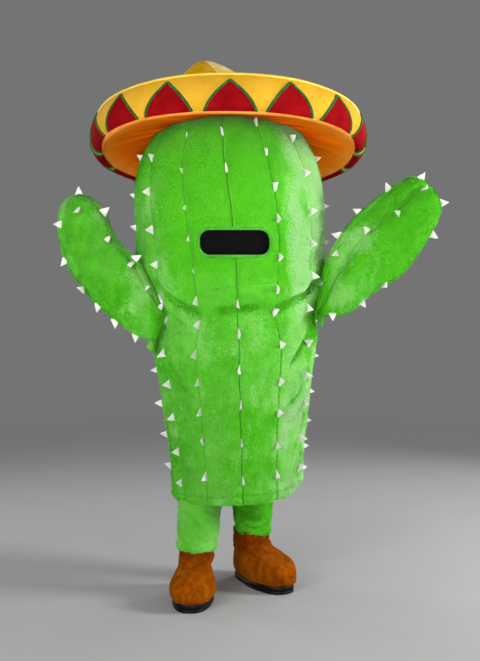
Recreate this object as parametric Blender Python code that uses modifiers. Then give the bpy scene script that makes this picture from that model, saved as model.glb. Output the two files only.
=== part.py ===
"""Wearable cactus costume of padded green plush, with a wide-brimmed hat, in its worn shape and with nobody inside.

Blender 4.5 script, metres, +Z up. The costume looks along -Y; its own right side is at -X.
One named object is one solid. The origin is on the floor, under the middle of the whole costume.
"""

import math

import bmesh
import bpy
from mathutils import Matrix, Vector

# ------------------------------------------------------------------ driving sizes
GAP = 0.0004            # play between pieces that touch

HEM_Z = 0.400           # lower edge of the tunic
SPLIT_Z = 1.160         # where the foam hood is sewn to the tunic
DOME_Z = 1.500          # widest level of the hood
TOP_Z = 2.030           # crown of the hood, inside the hat
HEM_R = 0.286
HEAD_R = 0.421
DOME_POWER = 2.8        # squareness of the domed top
DEPTH_RATIO = 0.93      # front-to-back over side-to-side
RIBS = 12
RIB_SEGMENTS = 3        # facets across one rib
RIB_HEM = 0.004         # depth of the sewn valleys at the hem and at the head
RIB_HEAD = 0.015
TURN = math.radians(5)  # the body faces a little towards its own left
LEAN_X = -0.0370        # sideways drift of the axis per metre of height
AXIS_X = -0.003         # axis at LEAN_FROM_Z
LEAN_FROM_Z = 0.410
HOOD_WALL = 0.018
TUNIC_WALL = 0.010

WINDOW_Z = 1.475        # see-through panel
WINDOW_W = 0.290
WINDOW_H = 0.108
WINDOW_CORNER = 0.044

BASE_Z = 0.470          # underside of the panel that closes the tunic
BASE_T = 0.008

CUFF_Z = 0.200
LEG_WALL = 0.008
LEGS = {                # top centre, ankle centre, toe-out angle
    "right": ((-0.154, -0.070), (-0.188, -0.118), math.radians(-2)),
    "left": ((0.050, 0.075), (0.068, 0.092), math.radians(33)),
}
SOLE_T = 0.020
BOOT_WALL = 0.008

HAT_X, HAT_Y, HAT_Z = -0.045, -0.010, 1.846
HAT_TILT = math.radians(11.5)    # brim raised in front
BRIM_T = 0.012
BRIM_INNER_R, BRIM_INNER_H = 0.235, 0.098
BRIM_OUTER_R, BRIM_OUTER_H = 0.5460, 0.003
RIM_R, RIM_BULGE, RIM_HEIGHT, RIM_T = 0.565, 0.026, 0.155, 0.013
PIPING_R = 0.0070
CROWN_BASE_R, CROWN_HEIGHT, CROWN_WALL = 0.362, 0.345, 0.012
CROWN_DRIFT = (-0.100, 0.010)   # how far the soft tip leans
CROWN_SIDES = 26
HAT_STEPS = 36

ARM_SIDES = 18
ARM_W, ARM_T = 0.290, 0.178
ARM_WIDEST = 0.56       # share of the length, from the root
ARMS = {                # root, middle and tip of the centreline, and the roll about it
    "right": dict(line=[(-0.346, -0.095, 1.046), (-0.537, -0.120, 1.356), (-0.690, -0.130, 1.682)], roll=math.radians(30)),
    "left": dict(line=[(0.318, -0.095, 1.164), (0.568, -0.120, 1.476), (0.800, -0.130, 1.734)], roll=math.radians(-6)),
}
SPINE_L, SPINE_W, SPINE_T = 0.042, 0.036, 0.020

# ------------------------------------------------------------------ scene set-up
for old in list(bpy.data.objects):
    bpy.data.objects.remove(old)

costume = bpy.data.collections.new("Cactus costume")
cutters = bpy.data.collections.new("Cutters")
bpy.context.scene.collection.children.link(costume)
bpy.context.scene.collection.children.link(cutters)


def material(name, colour, roughness, metallic=0.0):
    m = bpy.data.materials.new(name)
    m.use_nodes = True
    p = m.node_tree.nodes["Principled BSDF"]
    p.inputs["Base Color"].default_value = (*colour, 1)
    p.inputs["Roughness"].default_value = roughness
    p.inputs["Metallic"].default_value = metallic
    m.diffuse_color = (*colour, 1)
    return m


PLUSH_HOOD = material("plush_hood", (0.085, 0.450, 0.035), 0.95)
PLUSH_TUNIC = material("plush_tunic", (0.090, 0.460, 0.038), 0.95)
PLUSH_ARM = material("plush_arm", (0.085, 0.440, 0.035), 0.95)
PLUSH_LEG = material("plush_leg", (0.110, 0.520, 0.050), 0.95)
LINING = material("lining", (0.060, 0.300, 0.030), 0.9)
MESH_CLOTH = material("mesh_cloth", (0.010, 0.010, 0.011), 0.85)
FELT = material("white_felt", (0.780, 0.780, 0.740), 0.9)
BOOT_SUEDE = material("boot_suede", (0.420, 0.135, 0.020), 0.85)
SOLE_RUBBER = material("sole_rubber", (0.008, 0.008, 0.010), 0.35)
HAT_YELLOW = material("hat_yellow", (0.800, 0.430, 0.030), 0.75)
HAT_ORANGE = material("hat_orange", (0.850, 0.260, 0.030), 0.8)
HAT_BAND = material("hat_band", (0.720, 0.330, 0.030), 0.75)
HAT_WELT = material("hat_welt", (0.820, 0.480, 0.050), 0.7)

root = bpy.data.objects.new("costume_root", None)
costume.objects.link(root)


def place(name, mesh, mat, collection=costume, parent=root):
    """Adds a mesh as a named object under the root, with its faces pointing out and soft edges shaded smooth."""
    bm = bmesh.new()
    bm.from_mesh(mesh)
    bmesh.ops.recalc_face_normals(bm, faces=bm.faces)
    bm.to_mesh(mesh)
    bm.free()
    obj = bpy.data.objects.new(name, mesh)
    collection.objects.link(obj)
    obj.parent = parent
    if mat:
        mesh.materials.clear()
        mesh.materials.append(mat)
    mesh.shade_smooth()
    mesh.set_sharp_from_angle(angle=math.radians(45))
    if collection is cutters:
        obj.hide_render = True
        obj.display_type = "WIRE"
    return obj


def loft(name, rings, mat, wrap=False, first=None, last=None, collection=costume):
    """A skin through rings of equal count. wrap joins the last ring to the first; first and last are pole points, or True for a flat cap."""
    bm = bmesh.new()
    rows = [[bm.verts.new(p) for p in ring] for ring in rings]
    pairs = list(zip(rows, rows[1:])) + ([(rows[-1], rows[0])] if wrap else [])
    n = len(rows[0])
    for a, b in pairs:
        for i in range(n):
            j = (i + 1) % n
            bm.faces.new((a[i], a[j], b[j], b[i]))
    for row, pole in ((rows[0], first), (rows[-1], last)):
        if pole is True:
            bm.faces.new(row)
        elif pole is not None:
            tip = bm.verts.new(pole)
            for i in range(n):
                bm.faces.new((row[i], row[(i + 1) % n], tip))
    mesh = bpy.data.meshes.new(name)
    bm.to_mesh(mesh)
    bm.free()
    return place(name, mesh, mat, collection)


def boolean(obj, cutter, operation="DIFFERENCE"):
    mod = obj.modifiers.new("cut", "BOOLEAN")
    mod.operation = operation
    mod.object = cutter
    mod.solver = "EXACT"
    return mod


def smooth(t):
    t = min(1.0, max(0.0, t))
    return t * t * (3 - 2 * t)


def spread(a, b, n):
    return [a + (b - a) * i / n for i in range(n + 1)]


# ------------------------------------------------------------------ the ribbed body
def body_radius(z):
    """Side-to-side radius of the costume at height z: a flared tube under a domed top."""
    if z <= DOME_Z:
        return HEM_R + (HEAD_R - HEM_R) * smooth((z - HEM_Z) / (DOME_Z - HEM_Z)) ** 1.18
    t = min(1.0, (z - DOME_Z) / (TOP_Z - DOME_Z))
    return HEAD_R * max(0.0, 1 - t ** DOME_POWER) ** (1 / DOME_POWER)


def axis_x(z):
    return AXIS_X + LEAN_X * (z - LEAN_FROM_Z)


def body_point(angle, z, inset=0.0):
    """A point of the ribbed surface; angle 0 is the middle seam of the front and grows towards +X. The valleys are at the seams."""
    r = body_radius(z)
    depth = RIB_HEM + (RIB_HEAD - RIB_HEM) * smooth((z - HEM_Z) / (DOME_Z - HEM_Z))
    depth *= min(1.0, r / HEAD_R * 1.15)
    r = max(0.0, r - depth * abs(math.cos(RIBS / 2 * angle)) ** 3 - inset)
    return Vector((axis_x(z) + r * math.sin(angle + TURN), -r * DEPTH_RATIO * math.cos(angle + TURN), z))


def body_ring(z, inset=0.0):
    n = RIBS * RIB_SEGMENTS
    return [body_point(2 * math.pi * i / n, z, inset) for i in range(n)]


def dome_level(u, wall=0.0):
    """Heights that crowd towards the top, where the dome turns in: u 0 is the widest level and 1 nearly the top."""
    top = TOP_Z - wall
    return DOME_Z + (top - DOME_Z) * math.sin(u * math.pi / 2)


DOME_STEPS = [0.18, 0.36, 0.52, 0.66, 0.78, 0.87, 0.935]


def dome_ring(u, wall):
    """A ring of the dome, or of its inner face, which is the same dome drawn in by the wall."""
    z_out = dome_level(u)
    k = (TOP_Z - wall - DOME_Z) / (TOP_Z - DOME_Z)
    z = DOME_Z + (z_out - DOME_Z) * k
    ring = []
    for p in body_ring(z_out):
        c = Vector((axis_x(z_out), 0, 0))
        flat = Vector((p.x, p.y, 0)) - c
        if flat.length > 1e-6:
            flat *= max(0.15, (flat.length - wall) / flat.length)
        ring.append(Vector((c.x + flat.x, flat.y, z)))
    return ring


tunic_levels = spread(HEM_Z, SPLIT_Z - GAP / 2, 7)
tunic = loft("tunic", [body_ring(z) for z in tunic_levels] + [body_ring(z, TUNIC_WALL) for z in reversed(tunic_levels)], PLUSH_TUNIC, wrap=True)

hood_levels = spread(SPLIT_Z + GAP / 2, DOME_Z, 3)
outer = [body_ring(z) for z in hood_levels] + [dome_ring(u, 0.0) for u in DOME_STEPS]
inner = [body_ring(z, HOOD_WALL) for z in hood_levels] + [dome_ring(u, HOOD_WALL) for u in DOME_STEPS]


def dome_shell(name, outer, inner, mat, top_out, top_in):
    """Outer and inner skins of a closed dome, joined round the open foot."""
    bm = bmesh.new()
    n = len(outer[0])

    def skin(rings, top):
        rows = [[bm.verts.new(p) for p in ring] for ring in rings]
        for a, b in zip(rows, rows[1:]):
            for i in range(n):
                bm.faces.new((a[i], a[(i + 1) % n], b[(i + 1) % n], b[i]))
        tip = bm.verts.new(top)
        for i in range(n):
            bm.faces.new((rows[-1][i], rows[-1][(i + 1) % n], tip))
        return rows[0]

    foot_out, foot_in = skin(outer, top_out), skin(inner, top_in)
    for i in range(n):
        bm.faces.new((foot_out[i], foot_in[i], foot_in[(i + 1) % n], foot_out[(i + 1) % n]))
    mesh = bpy.data.meshes.new(name)
    bm.to_mesh(mesh)
    bm.free()
    return place(name, mesh, mat)


hood = dome_shell("hood", outer, inner, PLUSH_HOOD, (axis_x(TOP_Z), 0, TOP_Z), (axis_x(TOP_Z), 0, TOP_Z - HOOD_WALL))

# envelope of the whole body, a hair larger, that cuts what is sewn or pressed against it
all_levels = tunic_levels[:-1] + [SPLIT_Z] + hood_levels[1:]
envelope = loft(
    "body_envelope",
    [body_ring(z, -GAP) for z in all_levels] + [dome_ring(u, -GAP) for u in DOME_STEPS],
    None, first=(axis_x(HEM_Z), 0, HEM_Z), last=(axis_x(TOP_Z), 0, TOP_Z + GAP), collection=cutters,
)


# ------------------------------------------------------------------ see-through window in the hood
def window_block(name, shrink):
    """A round-cornered bar through the front wall only, square to the middle seam."""
    bm = bmesh.new()
    bmesh.ops.create_cube(bm, size=1.0)
    w, h = WINDOW_W - 2 * shrink, WINDOW_H - 2 * shrink
    bmesh.ops.scale(bm, vec=(w, 0.30, h), verts=bm.verts)
    along = [e for e in bm.edges if abs((e.verts[0].co - e.verts[1].co).normalized().y) > 0.9]
    bmesh.ops.bevel(bm, geom=along, offset=WINDOW_CORNER - shrink, segments=5, affect="EDGES", profile=0.5)
    bmesh.ops.transform(bm, matrix=Matrix.Translation((axis_x(WINDOW_Z), 0, WINDOW_Z)) @ Matrix.Rotation(TURN, 4, "Z") @ Matrix.Translation((0, -0.37, 0)), verts=bm.verts)
    mesh = bpy.data.meshes.new(name)
    bm.to_mesh(mesh)
    bm.free()
    return place(name, mesh, None, cutters)


window_hole = window_block("window_hole", 0.0)
window_plug = window_block("window_plug", GAP)
boolean(hood, window_hole)

panel_levels = spread(WINDOW_Z - 0.09, WINDOW_Z + 0.09, 6)
panel_angles = [math.radians(-30 + 7.5 * i) for i in range(9)]
panel_rings = []
for z in panel_levels:
    front = [body_point(a, z, 0.006) for a in panel_angles]
    back = [body_point(a, z, 0.011) for a in reversed(panel_angles)]
    panel_rings.append(front + back)
vision_panel = loft("vision_panel", panel_rings, MESH_CLOTH, first=True, last=True)
boolean(vision_panel, window_plug, "INTERSECT")

# ------------------------------------------------------------------ panel that closes the tunic, with the two leg holes
base_rings = [body_ring(z, TUNIC_WALL + GAP) for z in (BASE_Z, BASE_Z + BASE_T)]
base_panel = loft("base_panel", base_rings, LINING, first=True, last=True)


def leg_axis(side, z):
    (tx, ty), (bx, by), _ = LEGS[side]
    t = smooth((z - CUFF_Z - 0.036) / 0.160)
    return bx + (tx - bx) * t, by + (ty - by) * t


def leg_radius(z):
    """Nearly straight trouser leg, drawn in at the elasticated cuff."""
    return 0.0885 + 0.0030 * math.sin(math.pi * min(1.0, max(0.0, (z - CUFF_Z) / (BASE_Z - CUFF_Z)))) - 0.0035 * max(0.0, 1 - (z - CUFF_Z) / 0.04)


def circle(cx, cy, r, z, n):
    return [Vector((cx + r * math.sin(2 * math.pi * i / n), cy - r * math.cos(2 * math.pi * i / n), z)) for i in range(n)]


def shell_tube(name, levels, outer_ring, inner_ring, mat):
    return loft(name, [outer_ring(z) for z in levels] + [inner_ring(z) for z in reversed(levels)], mat, wrap=True)


for side in LEGS:
    levels = [CUFF_Z, CUFF_Z + 0.036, CUFF_Z + 0.080, CUFF_Z + 0.120, CUFF_Z + 0.165, BASE_Z - GAP]
    shell_tube(
        f"leg_{side}", levels,
        lambda z: circle(*leg_axis(side, z), leg_radius(z), z, 24),
        lambda z: circle(*leg_axis(side, z), leg_radius(z) - LEG_WALL, z, 24),
        PLUSH_LEG,
    )
    hx, hy = leg_axis(side, BASE_Z)
    bm = bmesh.new()
    bmesh.ops.create_cone(bm, cap_ends=True, segments=24, radius1=leg_radius(BASE_Z) - LEG_WALL, radius2=leg_radius(BASE_Z) - LEG_WALL, depth=0.06,
                          matrix=Matrix.Translation((hx, hy, BASE_Z)))
    mesh = bpy.data.meshes.new(f"leg_hole_{side}")
    bm.to_mesh(mesh)
    bm.free()
    boolean(base_panel, place(f"leg_hole_{side}", mesh, None, cutters))


# ------------------------------------------------------------------ boots
BOOT_SIDES = 18
# height, reach to the toe, reach to the heel, half width
BOOT_STATIONS = [
    (0.0000, 0.230, 0.104, 0.083),
    (0.0250, 0.249, 0.110, 0.094),
    (0.0620, 0.250, 0.108, 0.098),
    (0.0950, 0.230, 0.102, 0.095),
    (0.1200, 0.187, 0.095, 0.088),
    (0.1400, 0.124, 0.087, 0.079),
    (0.1560, 0.088, 0.080, 0.074),
    (0.1730, 0.073, 0.073, 0.071),
    (0.2150, 0.070, 0.070, 0.069),
]


def boot_ring(side, station, shrink, z):
    """A foot-shaped slice: an egg, blunt at the toe, in the boot's own direction."""
    _, front, back, half = station
    bx, by = LEGS[side][1]
    turn = LEGS[side][2]
    ring = []
    for i in range(BOOT_SIDES):
        a = 2 * math.pi * i / BOOT_SIDES
        c, s = math.cos(a), math.sin(a)
        reach = (front if c > 0 else back) - shrink
        slender = 1 - min(1.0, back / front)
        along = reach * math.copysign(abs(c) ** (0.92 - 0.10 * slender), c)
        across = (half - shrink) * math.copysign(abs(s) ** 0.92, s) * (1 + 0.10 * slender * c)
        ring.append(Vector((bx + across * math.cos(turn) + along * math.sin(turn), by + across * math.sin(turn) - along * math.cos(turn), z)))
    return ring


for side in LEGS:
    foot = SOLE_T + GAP
    outer = [boot_ring(side, s, 0.0, foot + s[0]) for s in BOOT_STATIONS]
    inner = [boot_ring(side, s, BOOT_WALL, foot + s[0] + (BOOT_WALL if k == 0 else 0.0)) for k, s in enumerate(BOOT_STATIONS)]
    bm = bmesh.new()
    rows = [[bm.verts.new(p) for p in ring] for ring in outer + inner[::-1]]
    for a, b in zip(rows, rows[1:]):
        for i in range(BOOT_SIDES):
            bm.faces.new((a[i], a[(i + 1) % BOOT_SIDES], b[(i + 1) % BOOT_SIDES], b[i]))
    bm.faces.new(rows[0])
    bm.faces.new(rows[-1])
    mesh = bpy.data.meshes.new(f"boot_{side}")
    bm.to_mesh(mesh)
    bm.free()
    place(f"boot_{side}", mesh, BOOT_SUEDE)
    edge = (0.0, BOOT_STATIONS[0][1] + 0.012, BOOT_STATIONS[0][2] + 0.010, BOOT_STATIONS[0][3] + 0.011)
    loft(f"sole_{side}", [boot_ring(side, edge, 0.004, 0.0), boot_ring(side, edge, 0.0, 0.005), boot_ring(side, edge, 0.0, SOLE_T - 0.003), boot_ring(side, edge, 0.003, SOLE_T)],
         SOLE_RUBBER, first=True, last=True)


# ------------------------------------------------------------------ arms
def arm_centre(side, t):
    """Gently bowed centreline: a parabola through the root, the middle and the tip."""
    a, b, c = (Vector(p) for p in ARMS[side]["line"])
    return a * ((1 - t) * (1 - 2 * t)) + b * (4 * t * (1 - t)) + c * (t * (2 * t - 1))


def arm_swell(t):
    """Share of the full width along the arm: a long egg, rounder at the tip."""
    if t < ARM_WIDEST:
        return math.sqrt(max(0.0, 1 - ((ARM_WIDEST - t) / ARM_WIDEST) ** 2.2))
    return math.sqrt(max(0.0, 1 - ((t - ARM_WIDEST) / (1 - ARM_WIDEST)) ** 2.8))


def arm_frame(side, t):
    """Centre, wide direction, thick direction and lengthwise direction of the arm at t."""
    d = (arm_centre(side, t + 0.01) - arm_centre(side, t - 0.01)).normalized()
    wide = Vector((0, -1, 0)).cross(d).normalized()
    thick = d.cross(wide).normalized()
    a = ARMS[side]["roll"]
    return arm_centre(side, t), wide * math.cos(a) + thick * math.sin(a), thick * math.cos(a) - wide * math.sin(a), d


def arm_point(side, angle, t):
    """A point of the arm's flattened-oval surface; angles 0 and 180 degrees are its two side seams."""
    c, wide, thick, _ = arm_frame(side, t)
    k = arm_swell(t)
    x, y = math.cos(angle), math.sin(angle)
    return c + wide * (ARM_W / 2 * k * math.copysign(abs(x) ** 0.9, x)) + thick * (ARM_T / 2 * k * math.copysign(abs(y) ** 0.9, y))


arm_ts = [0.012, 0.05, 0.12, 0.22, 0.34, 0.48, 0.60, 0.71, 0.81, 0.89, 0.945, 0.98, 0.995]
for side in ARMS:
    rings = [[arm_point(side, 2 * math.pi * i / ARM_SIDES, t) for i in range(ARM_SIDES)] for t in arm_ts]
    arm = loft(f"arm_{side}", rings, PLUSH_ARM, first=arm_centre(side, 0.0), last=arm_centre(side, 1.0))
    boolean(arm, envelope)

# ------------------------------------------------------------------ hat
hat_matrix = Matrix.Translation((HAT_X, HAT_Y, HAT_Z)) @ Matrix.Rotation(-HAT_TILT, 4, "X")


def spun(name, profile, mat, steps=HAT_STEPS):
    """A closed profile of (radius, height) pairs turned once round the hat's axis."""
    mesh = bpy.data.meshes.new(name)
    n = len(profile)
    mesh.from_pydata([(r, 0, h) for r, h in profile], [(i, (i + 1) % n) for i in range(n)], [])
    obj = bpy.data.objects.new(name, mesh)
    costume.objects.link(obj)
    obj.parent = root
    obj.matrix_local = hat_matrix
    mesh.materials.append(mat)
    screw = obj.modifiers.new("turn", "SCREW")
    screw.angle = 2 * math.pi
    screw.steps = screw.render_steps = steps
    screw.use_merge_vertices = True
    screw.merge_threshold = 0.00005
    screw.use_smooth_shade = True
    return obj


def brim_height(r):
    """Underside of the brim: it falls gently from the head to the edge."""
    t = (r - BRIM_INNER_R) / (BRIM_OUTER_R - BRIM_INNER_R)
    return BRIM_INNER_H + (BRIM_OUTER_H - BRIM_INNER_H) * t ** 1.15


brim_rs = spread(BRIM_INNER_R, BRIM_OUTER_R, 4)
brim = spun("hat_brim", [(r, brim_height(r)) for r in reversed(brim_rs)] + [(r, brim_height(r) + BRIM_T) for r in brim_rs], HAT_ORANGE)
boolean(brim, envelope)


def rim_profile(h, offset=0.0):
    """The rolled-up rim: it swings out from the brim's edge and back in at the top."""
    t = h / RIM_HEIGHT
    return RIM_R - 0.015 * (1 - t) ** 3 + RIM_BULGE * math.sin(math.pi * t) ** 0.8 - offset


rim_ts = [0.0, 0.14, 0.36, 0.62, 0.84, 1.0]
rim_out = [(rim_profile(RIM_HEIGHT * t) + (0.001 if 0 < t < 1 else 0), RIM_HEIGHT * t) for t in rim_ts]
rim_in = [(rim_profile(RIM_HEIGHT * t) - RIM_T, 0.010 * (1 - t) + RIM_HEIGHT * t) for t in reversed(rim_ts)]
rim_in = [(max(r, BRIM_OUTER_R + GAP), h) for r, h in rim_in]
rim_out[0] = (BRIM_OUTER_R + 0.006, 0.0)
rim_out.insert(0, (BRIM_OUTER_R + GAP, 0.002))
for k, quarter in enumerate(("front", "left", "back", "right")):
    rim = spun(f"hat_rim_{quarter}", (rim_out + rim_in)[::-1], HAT_BAND)
    # the rim is sewn from four quarters: a block, a hair short of the next quarter, takes one out of the full turn
    bm = bmesh.new()
    bmesh.ops.create_cube(bm, size=1.0, matrix=Matrix.Rotation(math.pi / 2 * k - math.pi * 3 / 4, 4, "Z") @ Matrix.Translation((0.5 + GAP / 2, 0.5 + GAP / 2, 0)))
    mesh = bpy.data.meshes.new(f"rim_quarter_{quarter}")
    bm.to_mesh(mesh)
    bm.free()
    block = place(f"rim_quarter_{quarter}", mesh, None, cutters)
    block.matrix_local = hat_matrix
    boolean(rim, block, "INTERSECT")

bpy.ops.mesh.primitive_torus_add(major_radius=RIM_R - RIM_T / 2, minor_radius=PIPING_R, major_segments=HAT_STEPS, minor_segments=5)
piping = bpy.context.active_object
for c in list(piping.users_collection):
    c.objects.unlink(piping)
costume.objects.link(piping)
piping.name = "hat_piping"
piping.parent = root
piping.matrix_local = hat_matrix @ Matrix.Translation((0, 0, RIM_HEIGHT + PIPING_R + GAP))
piping.data.materials.append(HAT_WELT)
piping.data.shade_smooth()


def crown_radius(t, wall=0.0):
    """Soft conical crown with a rounded tip; t runs from the foot to the top."""
    return max(0.0, CROWN_BASE_R * (1 - t ** 1.9) ** 0.80 - wall)


CROWN_FOOT = brim_height(CROWN_BASE_R - CROWN_WALL) + BRIM_T + 0.0012


def crown_ring(t, wall, matrix):
    """A slice of the crown, which drifts sideways towards the tip. The inner skin stops a wall short of the top."""
    h = CROWN_FOOT + (CROWN_HEIGHT - wall) * t
    dx, dy = CROWN_DRIFT[0] * t ** 1.5, CROWN_DRIFT[1] * t ** 1.5
    r = crown_radius(t, wall)
    return [matrix @ Vector((dx + r * math.sin(2 * math.pi * i / CROWN_SIDES), dy - r * math.cos(2 * math.pi * i / CROWN_SIDES), h)) for i in range(CROWN_SIDES)]


crown_ts = [0.0, 0.20, 0.40, 0.58, 0.74, 0.86, 0.94, 0.98]
h_top = CROWN_FOOT + CROWN_HEIGHT
crown = dome_shell(
    "hat_crown",
    [crown_ring(t, 0.0, hat_matrix) for t in crown_ts],
    [crown_ring(t, CROWN_WALL, hat_matrix) for t in crown_ts[:-1]] + [crown_ring(0.965, CROWN_WALL, hat_matrix)],
    HAT_YELLOW,
    hat_matrix @ Vector((*CROWN_DRIFT, h_top)),
    hat_matrix @ Vector((*CROWN_DRIFT, h_top - CROWN_WALL)),
)
boolean(crown, envelope)


# ------------------------------------------------------------------ the spines at the costume's furthest tips
def spine(name, base, out, edge):
    """A four-sided felt spine standing on base, pointing along out, its wide side along edge."""
    bm = bmesh.new()
    bmesh.ops.create_cone(bm, cap_ends=True, segments=4, radius1=1.0, radius2=0.08, depth=1.0)
    bmesh.ops.scale(bm, vec=(SPINE_T / 2, SPINE_W / 2, SPINE_L), verts=bm.verts)
    bmesh.ops.translate(bm, vec=(0, 0, SPINE_L / 2 + GAP), verts=bm.verts)
    z = out.normalized()
    y = (edge - z * edge.dot(z)).normalized()
    x = y.cross(z)
    basis = Matrix((x, y, z)).transposed().to_4x4()
    bmesh.ops.transform(bm, matrix=Matrix.Translation(base) @ basis, verts=bm.verts)
    mesh = bpy.data.meshes.new(name)
    bm.to_mesh(mesh)
    bm.free()
    return place(name, mesh, FELT)


for side in ARMS:
    c, wide, thick, along = arm_frame(side, 1.0)
    spine(f"spine_{side}_tip", c, along, wide)
    outward = 1 if (wide.x < 0) == (side == "right") else -1
    for k, t in enumerate((0.83, 0.56)):
        c, wide, thick, along = arm_frame(side, t)
        angle = 0.0 if outward > 0 else math.pi
        p = arm_point(side, angle, t)
        q1, q2 = arm_point(side, angle, t - 0.02), arm_point(side, angle, t + 0.02)
        edge = (q2 - q1).normalized()
        out = (wide * outward - edge * (wide * outward).dot(edge)).normalized()
        spine(f"spine_{side}_{k + 1}", p + out * 0.0006, out, edge)

# ------------------------------------------------------------------ origin: on the floor, under the middle of the whole
bpy.context.view_layer.update()
graph = bpy.context.evaluated_depsgraph_get()
low, high = Vector((9, 9, 9)), Vector((-9, -9, -9))
for obj in costume.objects:
    if obj.type == "MESH":
        shown = obj.evaluated_get(graph)
        mesh = shown.to_mesh()
        for v in mesh.vertices:
            p = shown.matrix_world @ v.co
            low = Vector(map(min, low, p))
            high = Vector(map(max, high, p))
        shown.to_mesh_clear()
middle = (low + high) / 2
root.location = (-middle.x, -middle.y, -low.z)
for cutter in cutters.objects:
    cutter.parent = root
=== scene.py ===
"""Looks of the wearable plush cactus costume: plush skins with their pile, felt spines, suede boots and the satin hat.

Metres, +Z up. Sizes are worked out in the costume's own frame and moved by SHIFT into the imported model's frame.
"""
import math

import bpy
import numpy as np
from mathutils import Matrix, Vector


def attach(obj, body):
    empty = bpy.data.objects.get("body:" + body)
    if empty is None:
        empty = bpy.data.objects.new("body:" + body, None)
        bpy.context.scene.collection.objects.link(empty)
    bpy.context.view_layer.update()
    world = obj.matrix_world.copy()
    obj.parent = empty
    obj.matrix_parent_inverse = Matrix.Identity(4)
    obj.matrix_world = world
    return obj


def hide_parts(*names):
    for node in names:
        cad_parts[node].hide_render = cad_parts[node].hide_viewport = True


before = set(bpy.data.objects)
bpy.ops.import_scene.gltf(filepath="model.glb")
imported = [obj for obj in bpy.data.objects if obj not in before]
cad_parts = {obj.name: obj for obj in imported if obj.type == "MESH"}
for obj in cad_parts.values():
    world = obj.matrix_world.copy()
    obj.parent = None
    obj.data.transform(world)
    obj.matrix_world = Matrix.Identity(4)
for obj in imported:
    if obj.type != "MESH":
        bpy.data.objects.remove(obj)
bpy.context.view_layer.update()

SHIFT = np.array([-0.0379, -0.0069, 0.0])
rad = math.radians
TAU = 2 * math.pi


# ------------------------------------------------------------------ small tools
def smooth(t):
    t = np.clip(t, 0.0, 1.0)
    return t * t * (3 - 2 * t)


def spline(x, y):
    """Natural cubic spline through the points (x, y), as a function. y may have several columns."""
    x = np.asarray(x, float)
    y = np.asarray(y, float)
    n = len(x)
    h = np.diff(x)
    a = np.zeros((n, n))
    b = np.zeros((n,) + y.shape[1:])
    a[0, 0] = a[-1, -1] = 1
    for i in range(1, n - 1):
        a[i, i - 1], a[i, i], a[i, i + 1] = h[i - 1], 2 * (h[i - 1] + h[i]), h[i]
        b[i] = 6 * ((y[i + 1] - y[i]) / h[i] - (y[i] - y[i - 1]) / h[i - 1])
    m = np.linalg.solve(a, b)

    def at(q):
        q = np.clip(np.asarray(q, float), x[0], x[-1])
        i = np.clip(np.searchsorted(x, q) - 1, 0, n - 2)
        t = q - x[i]
        k = h[i]
        if y.ndim > 1:
            t, k = t[..., None], k[..., None]
        return (m[i] * (k - t) ** 3 / (6 * k) + m[i + 1] * t ** 3 / (6 * k)
                + (y[i] / k - m[i] * k / 6) * (k - t) + (y[i + 1] / k - m[i + 1] * k / 6) * t)

    return at


def _hash(ix, iy, iz, seed):
    h = ix * np.uint32(0x8DA6B343) ^ iy * np.uint32(0xD8163841) ^ iz * np.uint32(0xCB1AB31F) ^ np.uint32((seed * 2654435761 + 12345) & 0xFFFFFFFF)
    h ^= h >> np.uint32(13)
    h = h * np.uint32(0x5BD1E995)
    h ^= h >> np.uint32(15)
    h = h * np.uint32(0x27D4EB2F)
    return h ^ (h >> np.uint32(13))


def noise(p, size=1.0, seed=0):
    """Gradient noise of points (..., 3), from about -0.8 to 0.8, with features of about the given size."""
    q = np.asarray(p, float) / size + 512.37 + seed * 7.31
    i = np.floor(q).astype(np.int64)
    f = q - i
    i = i.astype(np.uint32)
    u = f * f * f * (f * (f * 6 - 15) + 10)
    out = np.zeros(q.shape[:-1])
    for dx in (0, 1):
        wx = u[..., 0] if dx else 1 - u[..., 0]
        for dy in (0, 1):
            wy = u[..., 1] if dy else 1 - u[..., 1]
            for dz in (0, 1):
                wz = u[..., 2] if dz else 1 - u[..., 2]
                h = _hash(i[..., 0] + np.uint32(dx), i[..., 1] + np.uint32(dy), i[..., 2] + np.uint32(dz), seed)
                g = ((h & np.uint32(1023)) / 511.5 - 1) * (f[..., 0] - dx)
                g += (((h >> np.uint32(10)) & np.uint32(1023)) / 511.5 - 1) * (f[..., 1] - dy)
                g += (((h >> np.uint32(20)) & np.uint32(1023)) / 511.5 - 1) * (f[..., 2] - dz)
                out += wx * wy * wz * g
    return out * 1.25


def line_noise(x, size, seed=0):
    """Noise along one number."""
    x = np.asarray(x, float)
    p = np.stack([x, np.full_like(x, 0.37), np.full_like(x, 0.71)], -1)
    p[..., 1:] *= size
    return noise(p, size, seed)


def unit(v):
    return v / np.maximum(np.linalg.norm(v, axis=-1, keepdims=True), 1e-12)


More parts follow.
